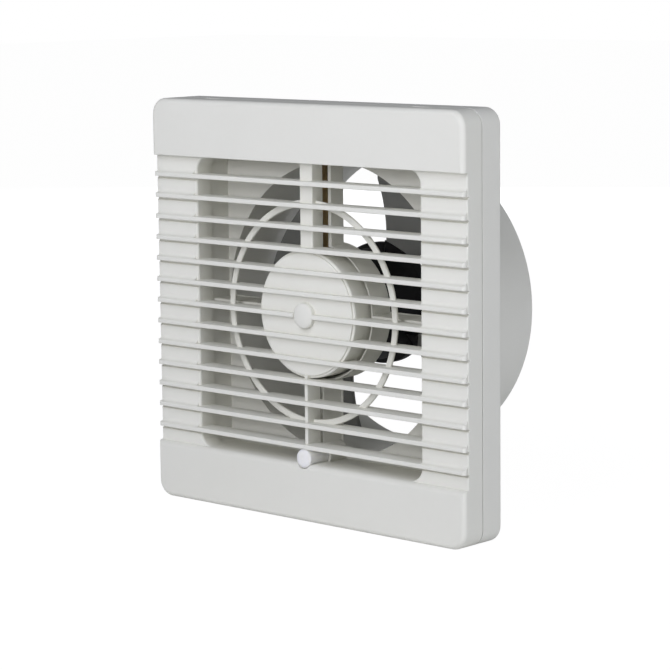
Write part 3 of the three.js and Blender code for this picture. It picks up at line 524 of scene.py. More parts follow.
class Graph:
    """The nodes of one material or world."""

    def __init__(self, owner: bpy.types.ID, output: str = "ShaderNodeOutputMaterial") -> None:
        """Empty the nodes and start with the output.

        Args:
            owner: the material or world.
            output: its output's type.
        """
        owner.use_nodes = True
        self.owner = owner
        self.tree = owner.node_tree
        self.tree.nodes.clear()
        self.out = self.tree.nodes.new(output)

    @classmethod
    def material(cls, name: str) -> "Graph":
        """Start the nodes of a new material."""
        return cls(bpy.data.materials.new(name))

    def node(self, kind: str, settings: dict[str, object] | None = None,
             inputs: dict[object, object] | None = None, output: object = 0) -> Value:
        """Add a node.

        Args:
            kind: its type.
            settings: its own settings.
            inputs: values or links by socket.
            output: which output is given.

        Returns:
            The output.
        """
        made = self.tree.nodes.new(kind)
        for key, value in (settings or {}).items():
            setattr(made, key, value)
        for key, value in (inputs or {}).items():
            if isinstance(value, Value):
                self.tree.links.new(value.socket, made.inputs[key])
            else:
                made.inputs[key].default_value = value
        return Value(self, made.outputs[output])

    def spot(self) -> Value:
        """Give the place on the piece, in metres."""
        return self.node("ShaderNodeTexCoord", output="Object")

    def noise(self, size: float, detail: float = 2.0, stretch: Point = (1, 1, 1)) -> Value:
        """Make noise of a size in mm, denser along stretched axes."""
        place = self.node("ShaderNodeMapping", {}, {"Vector": self.spot(), "Scale": tuple(stretch)})
        return self.node("ShaderNodeTexNoise", {"noise_dimensions": "3D"},
                         {"Vector": place, "Scale": 1 / (size * MM), "Detail": detail})

    def mix(self, factor: object, first: object, second: object) -> Value:
        """Mix two colours by a factor."""
        return self.node("ShaderNodeMix", {"data_type": "RGBA"},
                         {0: factor, 6: first, 7: second}, 2)

    def bump(self, height: Value, depth: float) -> Value:
        """Turn a height into a normal, with its depth in mm."""
        return self.node("ShaderNodeBump", {}, {"Height": height, "Distance": depth * MM})

    def bands(self, way: str, pitch: float, **inputs: float) -> Value:
        """Make bands across one axis, with their distance in mm."""
        scale = 1 / (pitch * MM) / (2 * math.pi)
        return self.node("ShaderNodeTexWave", {"wave_type": "BANDS", "bands_direction": way},
                         {"Vector": self.spot(), "Scale": scale, **inputs}, "Fac")

    def seen_white(self, glossy_share: float) -> Value:
        """Give 1 for rays that meet a white background, and a share in reflections."""
        camera, glossy, through = (self.node("ShaderNodeLightPath", output=f"Is {kind} Ray")
                                   for kind in ("Camera", "Glossy", "Transmission"))
        return (camera + glossy * glossy_share + through).held()

    def show(self, surface: Value) -> bpy.types.ID:
        """Link a shader to the output and give the finished material or world."""
        self.tree.links.new(surface.socket, self.out.inputs["Surface"])
        return self.owner

    def plain(self, **inputs: object) -> bpy.types.Material:
        """Show the main shader, with its sockets by name and _ for a space."""
        named = {key.replace("_", " "): value for key, value in inputs.items()}
        return self.show(self.node("ShaderNodeBsdfPrincipled", {}, named, "BSDF"))


@dataclass(frozen=True)
class MouldedPlastic:
    """Moulded plastic with a fine satin grain, faint flow clouds and a little dust."""

    name: str
    colour: Colour
    shade: Colour
    roughness: float = 0.5
    grain: float = 0.35
    grain_depth: float = 0.012
    cloud: float = 38.0
    specular: float = 0.22

    def material(self) -> bpy.types.Material:
        """Build the material."""
        graph = Graph.material(self.name)
        flow = graph.noise(self.cloud, 2.0)
        fleck = graph.noise(2.2, 3.0)
        grain = graph.noise(self.grain, 2.0)
        tone = (flow * 0.7 + fleck * 0.3).held()
        colour = graph.mix(tone, linear(self.shade), linear(self.colour))
        rough = self.roughness - 0.06 + flow * 0.06 + grain * 0.06
        normal = graph.bump(grain, self.grain_depth)
        return graph.plain(Base_Color=colour, Roughness=rough, Normal=normal,
                           Specular_IOR_Level=self.specular)


@dataclass(frozen=True)
class MilkyPlastic:
    """A cloudy light pipe that lets some light through."""

    name: str
    colour: Colour
    roughness: float = 0.3
    deep: float = 0.86

    def material(self) -> bpy.types.Material:
        """Build the material."""
        graph = Graph.material(self.name)
        cloud = graph.noise(3.0, 3.0)
        colour = graph.mix(cloud, linear(self.colour, self.deep), linear(self.colour))
        normal = graph.bump(graph.noise(0.5), 0.006)
        rough = self.roughness + cloud * 0.08
        return graph.plain(Base_Color=colour, Roughness=rough, Normal=normal,
                           Subsurface_Weight=0.5, Subsurface_Radius=(0.003, 0.003, 0.0025),
                           Subsurface_Scale=1.0, IOR=1.49)


@dataclass(frozen=True)
class WorkedSteel:
    """Plated or ground steel with fine working marks and slight staining."""

    name: str
    colour: Colour
    roughness: float
    marks: Triple = (1, 1, 1)
    mark_size: float = 0.5
    stain: float = 0.12

    def material(self) -> bpy.types.Material:
        """Build the material."""
        graph = Graph.material(self.name)
        marks = graph.noise(self.mark_size, 3.0, self.marks)
        patch = graph.noise(9.0, 3.0)
        colour = graph.mix(patch, linear(self.colour, 1 - self.stain * 2), linear(self.colour))
        rough = self.roughness + patch * 0.12 + marks * 0.08 - 0.1
        return graph.plain(Base_Color=colour, Metallic=1.0, Roughness=rough,
                           Normal=graph.bump(marks, 0.01))


@dataclass(frozen=True)
class SheetStack:
    """Stacked steel sheets with dark lines between them."""

    name: str
    pitch: float = 0.5
    gap: Colour = (72, 74, 80)
    sheet: Colour = (150, 151, 155)

    def material(self) -> bpy.types.Material:
        """Build the material."""
        graph = Graph.material(self.name)
        line = graph.bands("Y", self.pitch)
        patch = graph.noise(4.0, 3.0)
        colour = graph.mix((line * 0.6 + patch * 0.4).held(), linear(self.gap), linear(self.sheet))
        return graph.plain(Base_Color=colour, Metallic=0.9, Roughness=0.42 + patch * 0.2,
                           Normal=graph.bump(line, 0.05))


@dataclass(frozen=True)
class WoundWire:
    """Enamelled copper wire laid turn by turn."""

    name: str
    wire: float = 0.35
    gap: Colour = (94, 44, 20)
    enamel: Colour = (196, 112, 62)

    def material(self) -> bpy.types.Material:
        """Build the material."""
        graph = Graph.material(self.name)
        rows = [graph.bands(way, self.wire, Distortion=0.6, Detail=1.0) for way in ("X", "Z")]
        turns = (rows[0] * 0.5 + rows[1] * 0.5).held()
        patch = graph.noise(3.0, 2.0)
        tone = (turns * 0.7 + patch * 0.3).held()
        colour = graph.mix(tone, linear(self.gap), linear(self.enamel))
        return graph.plain(Base_Color=colour, Metallic=0.55, Roughness=0.3 + patch * 0.15,
                           Normal=graph.bump(turns, 0.12), Coat_Weight=0.3)


@dataclass(frozen=True)
class SoftSheath:
    """Dull rubber or insulation with a fine drawn surface and handling marks."""

    name: str
    colour: Colour
    roughness: float = 0.55

    def material(self) -> bpy.types.Material:
        """Build the material."""
        graph = Graph.material(self.name)
        drawn_out = graph.noise(0.8, 3.0, (1, 1, 0.25))
        handled = graph.noise(7.0, 2.0)
        colour = graph.mix(handled, linear(self.colour), linear(self.colour, 1.25, 0.01))
        return graph.plain(Base_Color=colour, Roughness=self.roughness + handled * 0.15,
                           Normal=graph.bump(drawn_out, 0.02), Specular_IOR_Level=0.35)


@dataclass(frozen=True)
class ClearGlass:
    """A small glass envelope with a warm tint."""

    name: str
    tint: Colour = (226, 214, 206)
    clear: Colour = (250, 244, 240)

    def material(self) -> bpy.types.Material:
        """Build the material."""
        graph = Graph.material(self.name)
        swirl = graph.noise(2.0, 2.0)
        colour = graph.mix(swirl, linear(self.tint), linear(self.clear))
        return graph.plain(Base_Color=colour, Roughness=0.04 + swirl * 0.05,
                           Transmission_Weight=0.75, IOR=1.5, Normal=graph.bump(swirl, 0.01))


FINISHES = {
    "front_moulding": MouldedPlastic("front_moulding_plastic", (229, 228, 218), (224, 223, 212),
                                     0.55),
    "box_moulding": MouldedPlastic("box_moulding_plastic", (227, 226, 217), (222, 221, 211),
                                   0.55),
    "impeller_hub": MouldedPlastic("impeller_hub_plastic", (30, 30, 31), (23, 23, 24), 0.55,
                                   specular=0.15),
    "impeller_plastic": MouldedPlastic("impeller_blade_plastic", (132, 132, 128), (125, 125, 121)),
    "lens_plastic": MilkyPlastic("lens_milky_plastic", (248, 247, 242)),
    "lamp_glass": ClearGlass("lamp_clear_glass"),
    "brown_insulation": SoftSheath("brown_sheath", (196, 168, 122)),
    "blue_insulation": SoftSheath("blue_sheath", (40, 78, 150)),
    "black_insulation": SoftSheath("black_sheath", (30, 30, 32)),
    "grommet_rubber": SoftSheath("grommet_black_rubber", (38, 38, 40), 0.62),
    "terminal_plastic": MouldedPlastic("terminal_nylon", (232, 230, 220), (224, 222, 211),
                                       grain=0.6),
    "screw_steel": WorkedSteel("screw_zinc_plate", (196, 197, 192), 0.34, stain=0.08),
    "motor_steel": WorkedSteel("motor_zinc_plate", (188, 190, 190), 0.4, mark_size=1.2),
    "shaft_steel": WorkedSteel("shaft_ground_steel", (202, 203, 205), 0.24, (0.2, 6, 0.2), 0.4,
                               0.05),
    "lamination_steel": SheetStack("lamination_sheets"),
    "winding_copper": WoundWire("winding_enamelled_copper"),
    "bearing_bronze": WorkedSteel("bearing_sintered_bronze", (176, 138, 88), 0.5, mark_size=0.4),
}


class Finishes:
    """Builds each finish once and hands it out."""

    def __init__(self) -> None:
        """Start with nothing built."""
        self.built: dict[str, bpy.types.Material] = {}

    def of(self, name: str) -> bpy.types.Material:
        """Give a finish, built at its first use.

        Args:
            name: its name.

        Returns:
            The material.
        """
        if name not in self.built:
            self.built[name] = FINISHES[name].material()
        return self.built[name]


# ---------------------------------------------------------------- the fan

@dataclass
class FrontGrille:
    """The louvred front moulding."""

    half: float = 99.0
    front: float = -27.0
    back: float = -13.8
    corner: float = 8.0
    rim: float = 2.5
    wall: float = 2.2
    opening: float = 71.2
    opening_corner: float = 7.0
    floor: float = -23.8
    panel: float = 2.2
    lip_front: float = -26.3
    lip_height: float = 2.2
    lip_first: float = 60.7
    lip_pitch: float = 10.4
    lips: int = 13
    blend: float = 0.5
    fillet: float = 1.9
    fillet_start: float = -96.6
    groove: float = 1.0
    slat_back: float = -14.8
    slat_half: float = 72.6
    flare: float = 1.2
    reveal: float = 1.8
    reveal_front: float = -22.1
    ring_inner: float = 50.5
    ring_outer: float = 53.7
    ring_front: float = -19.9
    ring_back: float = -18.3
    disc: float = 30.4
    disc_face: float = -23.4
    skirt_end: float = -10.0
    boss: float = 6.15
    boss_drop: float = 0.5
    boss_front: float = -26.7
    lens_hole: float = 4.9
    lens_height: float = -68.6
    step_turn: float = 0.3
    lip_turn: float = 0.8
    lip_under_turn: float = 0.35
    groove_slope: Pair = (0.9, 1.4)
    panel_turn: float = 0.8
    lip_short: float = 0.4
    lip_end_turn: float = 1.6
    band_hollow: Pair = (73.0, 88.8)
    band_hollow_front: float = -24.6
    post_start: float = 29.0
    top_post: Pair = (4.0, -22.4)
    bottom_post: Pair = (1.0, -24.0)
    bottom_post_end: float = 63.6
    release_place: float = 66.0
    release_half: float = 5.5
    release_depth: Pair = (-18.9, -15.9)

    def lip_levels(self) -> list[float]:
        """Give the height of each lip's underside."""
        return [self.lip_first - self.lip_pitch * index for index in range(self.lips)]

    def front_profile(self) -> list[Pair]:
        """Give the stepped profile of the front.

        Returns:
            (y, z) points from the top down, past the moulding on all other sides.
        """
        past, floor, turn = self.half + PAST, self.floor, self.step_turn
        upper, lower = self.groove_slope
        corners: list[Triple] = [
            (self.back + PAST, past, 0), (self.front, past, 0),
            (self.front, self.opening, 0.45), (floor, self.opening, turn)]
        for level in self.lip_levels():
            top = level + self.lip_height
            corners += [(floor, top + self.blend, turn), (floor - self.blend, top, turn),
                        (self.lip_front, top, self.lip_turn),
                        (self.lip_front, level, self.lip_under_turn),
                        (floor + self.groove, level, 0.2),
                        (floor + self.groove, level - upper, 0.2), (floor, level - lower, turn)]
        corners += [(floor, -self.opening, turn), (self.front, -self.opening, 2.8),
                    (self.front, -past, 0), (self.back + PAST, -past, 0)]
        return softened(corners)

    def slat(self, level: float) -> Piece:
        """Make one louvre bar across the opening.

        Args:
            level: the height of its underside.

        Returns:
            The bar.
        """
        top, taper = level + self.lip_height, 0.25
        front, back = self.lip_front, self.slat_back
        outline = softened([(front, top, 0.5), (front, level, self.lip_under_turn),
                            (back, level + taper, 0.4), (back, top - taper, 0.4)], 3)
        return drawn("slat", outline, "X", -self.slat_half, self.slat_half)

    def fillets(self) -> Piece:
        """Make the hollow fillets from each panel into the lip below it.

        Returns:
            All of them as one piece.
        """
        turn, steps, overlap, sink = self.fillet, 6, 0.01, 0.6
        deep = self.floor + 0.4
        bars = []
        for level in self.lip_levels():
            top = level + self.lip_height
            middle = (self.floor - turn, top + turn)
            angles = [math.pi / 2 * step / steps for step in range(steps + 1)]
            arc = [(middle[0] + turn * math.cos(a), middle[1] - turn * math.sin(a)) for a in angles]
            arc[0] = (self.floor + overlap, top + turn)
            arc[-1] = (middle[0], top - overlap)
            outline = arc + [(middle[0], top - sink), (deep, top - sink), (deep, top + turn)]
            bars.append(drawn("fillet", outline, "X", self.fillet_start, self.half))
        return joined(bars[0], bars[1:])

    def shell(self) -> Piece:
        """Make the square moulding with its stepped front, hollow behind.

        Returns:
            The moulding, before its opening is cut.
        """
        half, inner = self.half, self.half - self.wall
        body = drawn("front_grille_moulding", self.front_profile(), "X", -half - PAST, half + PAST)
        weld(body, self.fillets())
        outside = block("outside", (-half, self.front, -half), (half, self.back, half),
                        self.corner, self.rim, 0.3, steps=10)
        combine(body, [outside], "INTERSECT")
        carve(body, self.end_tool(1), self.end_tool(-1))
        hollow_front = self.floor + self.panel
        carve(body, block("hollow", (-inner, hollow_front, -inner), (inner, self.back + 2, inner),
                          self.corner - self.wall, 0.6, steps=6))
        wide = self.band_hollow[1]
        for side in (1, -1):
            low, high = sorted(side * level for level in self.band_hollow)
            carve(body, block("band_hollow", (-wide, self.band_hollow_front, low),
                              (wide, hollow_front + 1, high), 2.0, 0.4, steps=4))
        return body

    def end_tool(self, side: int) -> Piece:
        """Make the cutter for the panels' outer edges and the lips' ends.

        Args:
            side: -1 for the left, 1 for the right.

        Returns:
            The cutter.
        """
        edge, floor, turn, room = self.half, self.floor, self.panel_turn, 2.2
        lip_end, past = edge - self.lip_short, edge + PAST + 1
        mid = 0.23
        corners = [(past, self.front - 1, 0), (past, floor + turn, 0), (edge, floor + turn, 0),
                   (edge - mid, floor + mid, 0), (edge - turn, floor, 0), (lip_end, floor - 0.1, 0),
                   (lip_end, self.lip_front, self.lip_end_turn),
                   (lip_end - room, self.lip_front, 0), (lip_end - room, self.front - 1, 0)]
        outline = [(side * a, b) for a, b in softened(corners, 5)]
        return drawn("end_tool", outline, "Z", 0.1 - self.opening, self.opening - 0.1)

    def opening_tool(self) -> Piece:
        """Make the cutter for the opening, flared at the panels' edges.

        Returns:
            The cutter.
        """
        size, start = self.opening, self.floor + self.flare
        tool = block("opening", (-size, start, -size), (size, self.back + 3, size),
                     self.opening_corner, steps=8)
        start_edit(tool)
        pick(tool, "FACE", lambda f: f.normal.y < -0.9)
        steps, wide, level = 5, size, start
        for step in range(1, steps + 1):
            angle = math.pi / 2 * step / steps
            next_wide = size + self.flare * (1 - math.cos(angle))
            next_level = start - self.flare * math.sin(angle)
            bpy.ops.mesh.extrude_region_move(
                TRANSFORM_OT_translate={"value": (0, next_level - level, 0)})
            bpy.ops.transform.resize(value=(next_wide / wide, 1, 1), center_override=(0, 0, 0))
            wide, level = next_wide, next_level
        ahead = self.front - PAST - 1 - level
        bpy.ops.mesh.extrude_region_move(TRANSFORM_OT_translate={"value": (0, ahead, 0)})
        end_edit()
        return tool

    def disc_profile(self) -> list[Pair]:
        """Give the hub disc's profile.

        Returns:
            (radius, y) points from its middle out and back inside.
        """
        face, rim = self.disc_face, self.disc
        outer = [(0.4, face), (rim - 1.9, face), (rim - 1.5, face + 0.08), (rim - 1.25, face + 0.3),
                 (rim - 1.2, face + 0.9), (rim - 0.6, face + 0.95), (rim - 0.25, face + 1.1),
                 (rim - 0.05, face + 1.4), (rim, face + 1.8)]
        return outer + [(rim, self.skirt_end), (rim - 2, self.skirt_end), (rim - 2, face + 2.6),
                        (rim - 2.6, face + 2), (0.4, face + 2)]

    def build(self, finishes: Finishes) -> None:
        """Make the moulding and dress it.

        Args:
            finishes: gives the finish.
        """
        body = self.shell()
        size, reveal, ahead = self.opening, self.opening + self.reveal, self.front - PAST
        weld(body, block("reveal", (-reveal, self.reveal_front - 0.4, -reveal),
                         (reveal, self.back, reveal), self.opening_corner + self.reveal, steps=8))
        carve(body, self.opening_tool())
        for level in self.lip_levels():
            weld(body, self.slat(level))
        inside, outside, turn = self.ring_inner, self.ring_outer, 0.7
        ring = [(inside, self.ring_front, turn), (outside, self.ring_front, turn),
                (outside, self.ring_back, turn), (inside, self.ring_back, turn)]
        weld(body, turned("ring", softened(ring), 160))
        start = self.post_start
        half, front = self.top_post
        weld(body, block("top_post", (-half, front, start), (half, self.slat_back, size + 0.5), 0.6,
                         along="Z", steps=3))
        half, front = self.bottom_post
        weld(body, block("bottom_post", (-half, front, -self.bottom_post_end),
                         (half, self.slat_back, -start), 0.4, along="Z", steps=3))
        weld(body, turned("disc", self.disc_profile(), 144, ring=False))
        drop, edge, front = -self.boss_drop, self.boss, self.boss_front
        carve(body, rod("boss_room", (0, ahead, drop), (0, self.disc_face + 0.5, drop), edge - 0.4,
                        sides=72))
        crown = [(edge, self.disc_face + 1.0), (edge, front + 1.7), (edge - 0.25, front + 1.2),
                 (edge - 0.8, front + 0.75), (edge - 2.0, front + 0.35), (edge - 4.0, front + 0.08),
                 (0.5, front)]
        weld(body, turned("boss", crown, 72, (0, drop), ring=False))
        low = self.lens_height
        carve(body, rod("lens_way", (0, ahead, low), (0, self.back + 0.8, low), self.lens_hole))
        half, (front, rear) = self.release_half, self.release_depth
        for x in (self.release_place, -self.release_place):
            carve(body, block("release_slot", (x - half, front, self.half - 5),
                              (x + half, rear, self.half + 2), 1.2, along="Z", steps=4))
        finish_piece(body, Body.GRILLE, finishes.of("front_moulding"),
                     "front_grille")


@dataclass
class RearHousing:
    """The box behind the seam, with its duct, motor cup and arms."""

    half: float = 99.0
    front: float = -13.5
    corner: float = 8.0
    wall: float = 2.2
    plate: float = 2.0
    inner_wall: float = 71.5
    inner_thick: float = 1.8
    bore: float = 70.6
    duct: float = 72.3
    duct_end: float = 56.7
    cup: float = 32.6
    cup_wall: float = 1.8
    cup_front: float = -12.8
    arm_thick: float = 1.8
    arm_rear: float = 1.2
    channel_half: float = 7.1
    channel_floor: float = -5.8
    channel_wall: float = 1.8
    lens_height: float = -68.6
    cup_opening: float = 22.7
    arm_start: float = 32.2
    arm_end: float = 72.0
    bead_half: float = 1.4
    tongue_place: float = 66.0
    tongue_half: float = 8.0
    tongue_reach: Pair = (-20.5, -6.5)
    tongue_levels: Pair = (94.9, 96.5)
    foot_levels: Pair = (96.0, 97.9)
    socket: float = 5.9
    socket_bore: float = 4.7
    wall_hole: float = 2.4
    wall_hole_place: float = 85.5
    cord_hole: float = 5.2
    cord_hole_place: Pair = (-62.0, 85.0)
    screw_hole: float = 1.7
    screw_circle: float = 26.0
    screw_turns: tuple[float, ...] = (150.0, 270.0, 30.0)

    def box(self) -> Piece:
        """Make the square box with its back plate and inner wall.

        Returns:
            The box.
        """
        half, inner = self.half, self.half - self.wall
        body = block("rear_housing_moulding", (-half, self.front, -half), (half, 0, half),
                     self.corner, 0.35, 1.6, steps=10)
        carve(body, block("hollow", (-inner, self.front - 2, -inner), (inner, -self.plate, inner),
                          self.corner - self.wall, rear=0.6, steps=6))
        outer = self.inner_wall + self.inner_thick
        room, turn = self.inner_wall, 5.5
        frame_wall = block("inner_wall", (-outer, self.front, -outer), (outer, -1, outer),
                           self.inner_thick + turn, 0.3)
        carve(frame_wall, block("room", (-room, self.front - 1, -room), (room, 0, room), turn))
        weld(body, frame_wall)
        return body

    def duct_ring(self) -> Piece:
        """Make the round duct with its softened, slightly flared end.

        Returns:
            The duct.
        """
        end, start, flare = self.duct_end, -1.5, 12.0
        profile = softened([(self.bore, start, 0), (self.duct, start, 0), (self.duct, end, 0.5),
                            (self.duct - 0.8, end, 0.3), (self.bore, end - flare, 0)])
        return turned("duct", profile, 180)

    def cup_ring(self) -> Piece:
        """Make the motor cup with its thin front lip.

        Returns:
            The cup.
        """
        cup, inner, lip = self.cup, self.cup - self.cup_wall, self.cup - 0.8
        front, way = self.cup_front, self.cup_opening
        profile = softened([(way, -1.5, 0.3), (inner, -1.5, 0.8), (inner, front + 3, 0),
                            (lip, front + 3, 0), (lip, front, 0.2), (cup, front, 0.2),
                            (cup, 0.5, 1.0), (way, 0.5, 0.3)], 3)
        return turned("cup", profile, 144)

    def arm(self, name: str, degrees: float) -> Piece:
        """Make a flat arm from the cup to the wall, with its rear bead.

        Args:
            name: its name.
            degrees: how far it is turned from +X.

        Returns:
            The arm.
        """
        half, rear, bead = self.arm_thick / 2, self.arm_rear, self.bead_half
        start, end = self.arm_start, self.arm_end
        piece = block(name, (start, self.cup_front, -half), (end, rear, half), 0.25,
                      along="X", steps=2)
        weld(piece, block("bead", (start - 0.2, rear - 1.4, -bead), (end - 0.1, rear + 0.001, bead),
                          0.6, along="X", steps=3))
        return turned_round(piece, degrees)

    def channel(self) -> Piece:
        """Make the open channel for the leads.

        Returns:
            The channel.
        """
        half, wall, floor = self.channel_half, self.channel_wall, self.channel_floor
        piece = block("channel", (-half, self.cup_front, 31.4), (half, floor + wall, self.arm_end),
                      0.3, along="Z", steps=2)
        room = half - wall
        carve(piece, block("channel_room", (-room, self.cup_front - 2, 30),
                           (room, floor, self.arm_end + 2)))
        return piece

    def tongue(self, side: int, up: int) -> Piece:
        """Make a latch tongue for the front moulding.

        Args:
            side: -1 for the left, 1 for the right.
            up: 1 for the top wall, -1 for the bottom wall.

        Returns:
            The tongue.
        """
        middle = side * self.tongue_place
        left, right = middle - self.tongue_half, middle + self.tongue_half
        front, rear = self.tongue_reach
        low, high = sorted(up * level for level in self.tongue_levels)
        piece = block("tongue", (left, front, low), (right, rear, high), 0.5, steps=3)
        low, high = sorted(up * level for level in self.foot_levels)
        weld(piece, block("foot", (left, self.front + 0.3, low), (right, rear, high)))
        return piece

    def hole(self, name: str, x: float, z: float, radius: float, sides: int) -> Piece:
        """Make the cutter for a round hole through the back plate."""
        return rod(name, (x, -2 * PAST, z), (x, PAST, z), radius, sides=sides)

    def build(self, finishes: Finishes) -> None:
        """Make the moulding and dress it.

        Args:
            finishes: gives the finish.
        """
        body, front = self.box(), self.front
        carve(body, self.hole("bore", 0, 0, self.bore, 180))
        weld(body, self.duct_ring(), self.cup_ring())
        for name, degrees in (("arm_right", 0), ("arm_left", 180), ("arm_low", 90)):
            weld(body, self.arm(name, degrees))
        weld(body, self.channel())
        room = self.channel_half - self.channel_wall
        carve(body, block("lead_way", (-room, -16, 27), (room, self.channel_floor, 75)))
        low = self.lens_height
        weld(body, rod("socket", (0, front, low), (0, -1, low), self.socket, 0.3))
        carve(body, rod("socket_bore", (0, front - 2, low), (0, -4, low), self.socket_bore),
              block("socket_way", (-3, -10, low - 8), (3, -4, low)))
        for x in (-self.wall_hole_place, self.wall_hole_place):
            for z in (-self.wall_hole_place, self.wall_hole_place):
                carve(body, self.hole("wall_hole", x, z, self.wall_hole, 32))
        carve(body, self.hole("cord_hole", *self.cord_hole_place, self.cord_hole, 40))
        for angle in map(math.radians, self.screw_turns):
            x, z = self.screw_circle * math.cos(angle), self.screw_circle * math.sin(angle)
            carve(body, rod("screw_hole", (x, -PAST, z), (x, 2, z), self.screw_hole, sides=24))
        for side in (1, -1):
            for up in (1, -1):
                weld(body, self.tongue(side, up))
        finish_piece(body, Body.HOUSING, finishes.of("box_moulding"),
                     "rear_housing")


@dataclass
class Impeller:
    """The four-bladed paddle impeller: dark hub, paler blades."""

    hub: float = 27.0
    hub_front: float = 2.6
    hub_rear: float = 38.0
    hub_wall: float = 2.0
    hub_rounding: float = 3.0
    boss: float = 6.5
    boss_front: float = 30.0
    hole: float = 2.8
    thickness: float = 1.8
    blades: int = 4
    rim: Triple = (29.5, 28.5, 33.5)
    root: float = 25.7
    reach: float = 41.0
    spans: Pair = (22.3, 32.9)
    turns: Pair = (55.2, 3.9)
    trim: float = 6.0
    middle: float = 26.7
    rise: float = 5.3
    tip_turn_start: float = 60.7
    tip_turn: float = 6.0
    cover: Triple = (-0.03, 0.15, 0.045)
    cover_wide: float = 1.08
    cover_thick: float = 4.0

    def blade_point(self, out: float, across: float) -> Vector:
        """Give a point of a blade's middle surface.

        Args:
            out: 0 at the root, 1 at the tip.
            across: -1 at one edge, 1 at the other.

        Returns:
            The point, in mm.
        """
        radius = self.root + self.reach * out
        span = self.spans[0] + self.spans[1] * out
        corner = max(0.0, (radius - self.tip_turn_start) / self.tip_turn)
        rounding = math.sqrt(max(0.0, 1 - (0.9 * corner) ** 2))
        side = across * (1 - (1 - rounding) * 0.35)
        trim = self.trim * max(0.0, 1 - out) ** 1.2 * (1 - across) / 2
        angle = math.radians(self.turns[0] + self.turns[1] * out + side * span / 2 + trim)
        return Vector((radius * math.cos(angle), self.middle - side * self.rise,
                       radius * math.sin(angle)))

    def paddle(self, name: str, start: float, end: float, wide: float, thick: float,
               slant: float = 0.0) -> Piece:
        """Make a stretch of a blade on its middle surface.

        Args:
            name: its name.
            start: where it starts, 0 at the root and 1 at the tip.
            end: where it ends.
            wide: its share of the blade's width.
            thick: its thickness.
            slant: how much further it reaches at one edge.

        Returns:
            The closed piece.
        """
        bpy.ops.mesh.primitive_grid_add(x_subdivisions=24, y_subdivisions=22, size=2)
        piece = new_piece(name)
        for vertex in piece.data.vertices:
            share = (vertex.co.x + 1) / 2
            last = end + slant * vertex.co.y
            vertex.co = self.blade_point(start + (last - start) * share, vertex.co.y * wide)
        use_modifier(piece, "SOLIDIFY", thickness=thick, offset=0.0)
        use_modifier(piece, "BEVEL", width=min(0.6, thick * 0.3), segments=3, limit_method="ANGLE",
                     angle_limit=math.radians(50))
        start_edit(piece)
        outwards()
        return piece

    def around(self, piece: Piece) -> list[Piece]:
        """Copy a piece to every blade's place, each copy with its own mesh."""
        return [piece] + [
            turned_round(placed(f"{piece.name}_{n}", piece.data.copy()), 360 / self.blades * n)
            for n in range(1, self.blades)]

    def build(self, finishes: Finishes) -> None:
        """Make hub and blades and dress them.

        Args:
            finishes: gives the finishes.
        """
        hub, wall = self.hub, self.hub_wall
        rim, rim_front, rim_rear = self.rim
        front, rear, hole, boss = self.hub_front, self.hub_rear, self.hole, self.boss
        corners = [(hub - wall, front, 0.4), (hub, front, 0.5), (hub, rim_front - 4, 2),
                   (rim, rim_front, 1.2), (rim, rim_rear, 2), (hub, rear, self.hub_rounding),
                   (hole, rear, 0.3), (hole, self.boss_front, 0.3), (boss, self.boss_front, 0.4),
                   (boss, rear - wall, 0.6), (hub - wall, rear - wall, 1.5)]
        body = turned("impeller_hub", softened(corners, 5), 144)
        start, end, slant = self.cover
        weld(body, *self.around(self.paddle("root_cover", start, end, self.cover_wide,
                                            self.cover_thick, slant)))
        finish_piece(body, Body.ROTOR, finishes.of("impeller_hub"), "impeller")
        first, *others = self.around(self.paddle("impeller_blades", 0.0, 1.0, 1.0, self.thickness))
        finish_piece(joined(first, others), Body.ROTOR,
                     finishes.of("impeller_plastic"), "impeller", 40)


@dataclass
class Indicator:
    """The pale light pipe in the lowest louvres."""

    radius: float = 4.6
    front: float = -26.6
    rear: float = -10.7
    height: float = -68.6

    def build(self, finishes: Finishes) -> None:
        """Make the light pipe with its softened front and dress it.

        Args:
            finishes: gives the finish.
        """
        front, radius = self.front, self.radius
        profile = [(0.4, front), (radius - 1.2, front + 0.06), (radius - 0.5, front + 0.25),
                   (radius - 0.12, front + 0.6), (radius, front + 1.1), (radius, self.rear - 0.4),
                   (radius - 0.4, self.rear), (0.4, self.rear)]
        piece = turned("indicator_lens_pipe", profile, 64, (0, self.height), ring=False)
        finish_piece(piece, Body.HOUSING, finishes.of("lens_plastic"),
                     "indicator_lens")


@dataclass
class FittedParts:
    """The pieces inside: motor, leads, terminals and fixings, softened copies of the solids."""

    small_edge: float = 0.18

    def build(self, finishes: Finishes) -> None:
        """Copy, soften and dress each node that no other class makes.

        Args:
            finishes: gives the finishes.
        """
        bodies = frame["record"]["behaviour"]["bodies"]
        slots = {row["node"]: row["material_slot"] for row in frame["record"]["subparts"]}
        made = {"front_grille", "rear_housing", "impeller", "indicator_lens"}
        for body, nodes in bodies.items():
            for node in nodes:
                if node in made:
                    continue
                slot = slots[node]
                piece = copy_of_node(node, f"{node}_piece", self.small_edge)
                finish_piece(piece, Body(body), finishes.of(slot), node, in_mm=False)


# ---------------------------------------------------------------- floor, light and camera

@dataclass(frozen=True)
class Lamp:
    """A soft square lamp: its place and side in metres, and its power in watts."""

    name: str
    place: Triple
    side: float
    power: float
    colour: Triple

    def hang(self) -> None:
        """Hang the lamp, facing the fan."""
        data = bpy.data.lights.new(self.name, "AREA")
        data.shape, data.size, data.energy = "SQUARE", self.side, self.power
        data.color = self.colour
        lamp = placed(self.name, data)
        lamp.location = self.place
        lamp.rotation_euler = Vector(self.place).to_track_quat("Z", "Y").to_euler()
        lamp.visible_glossy = False


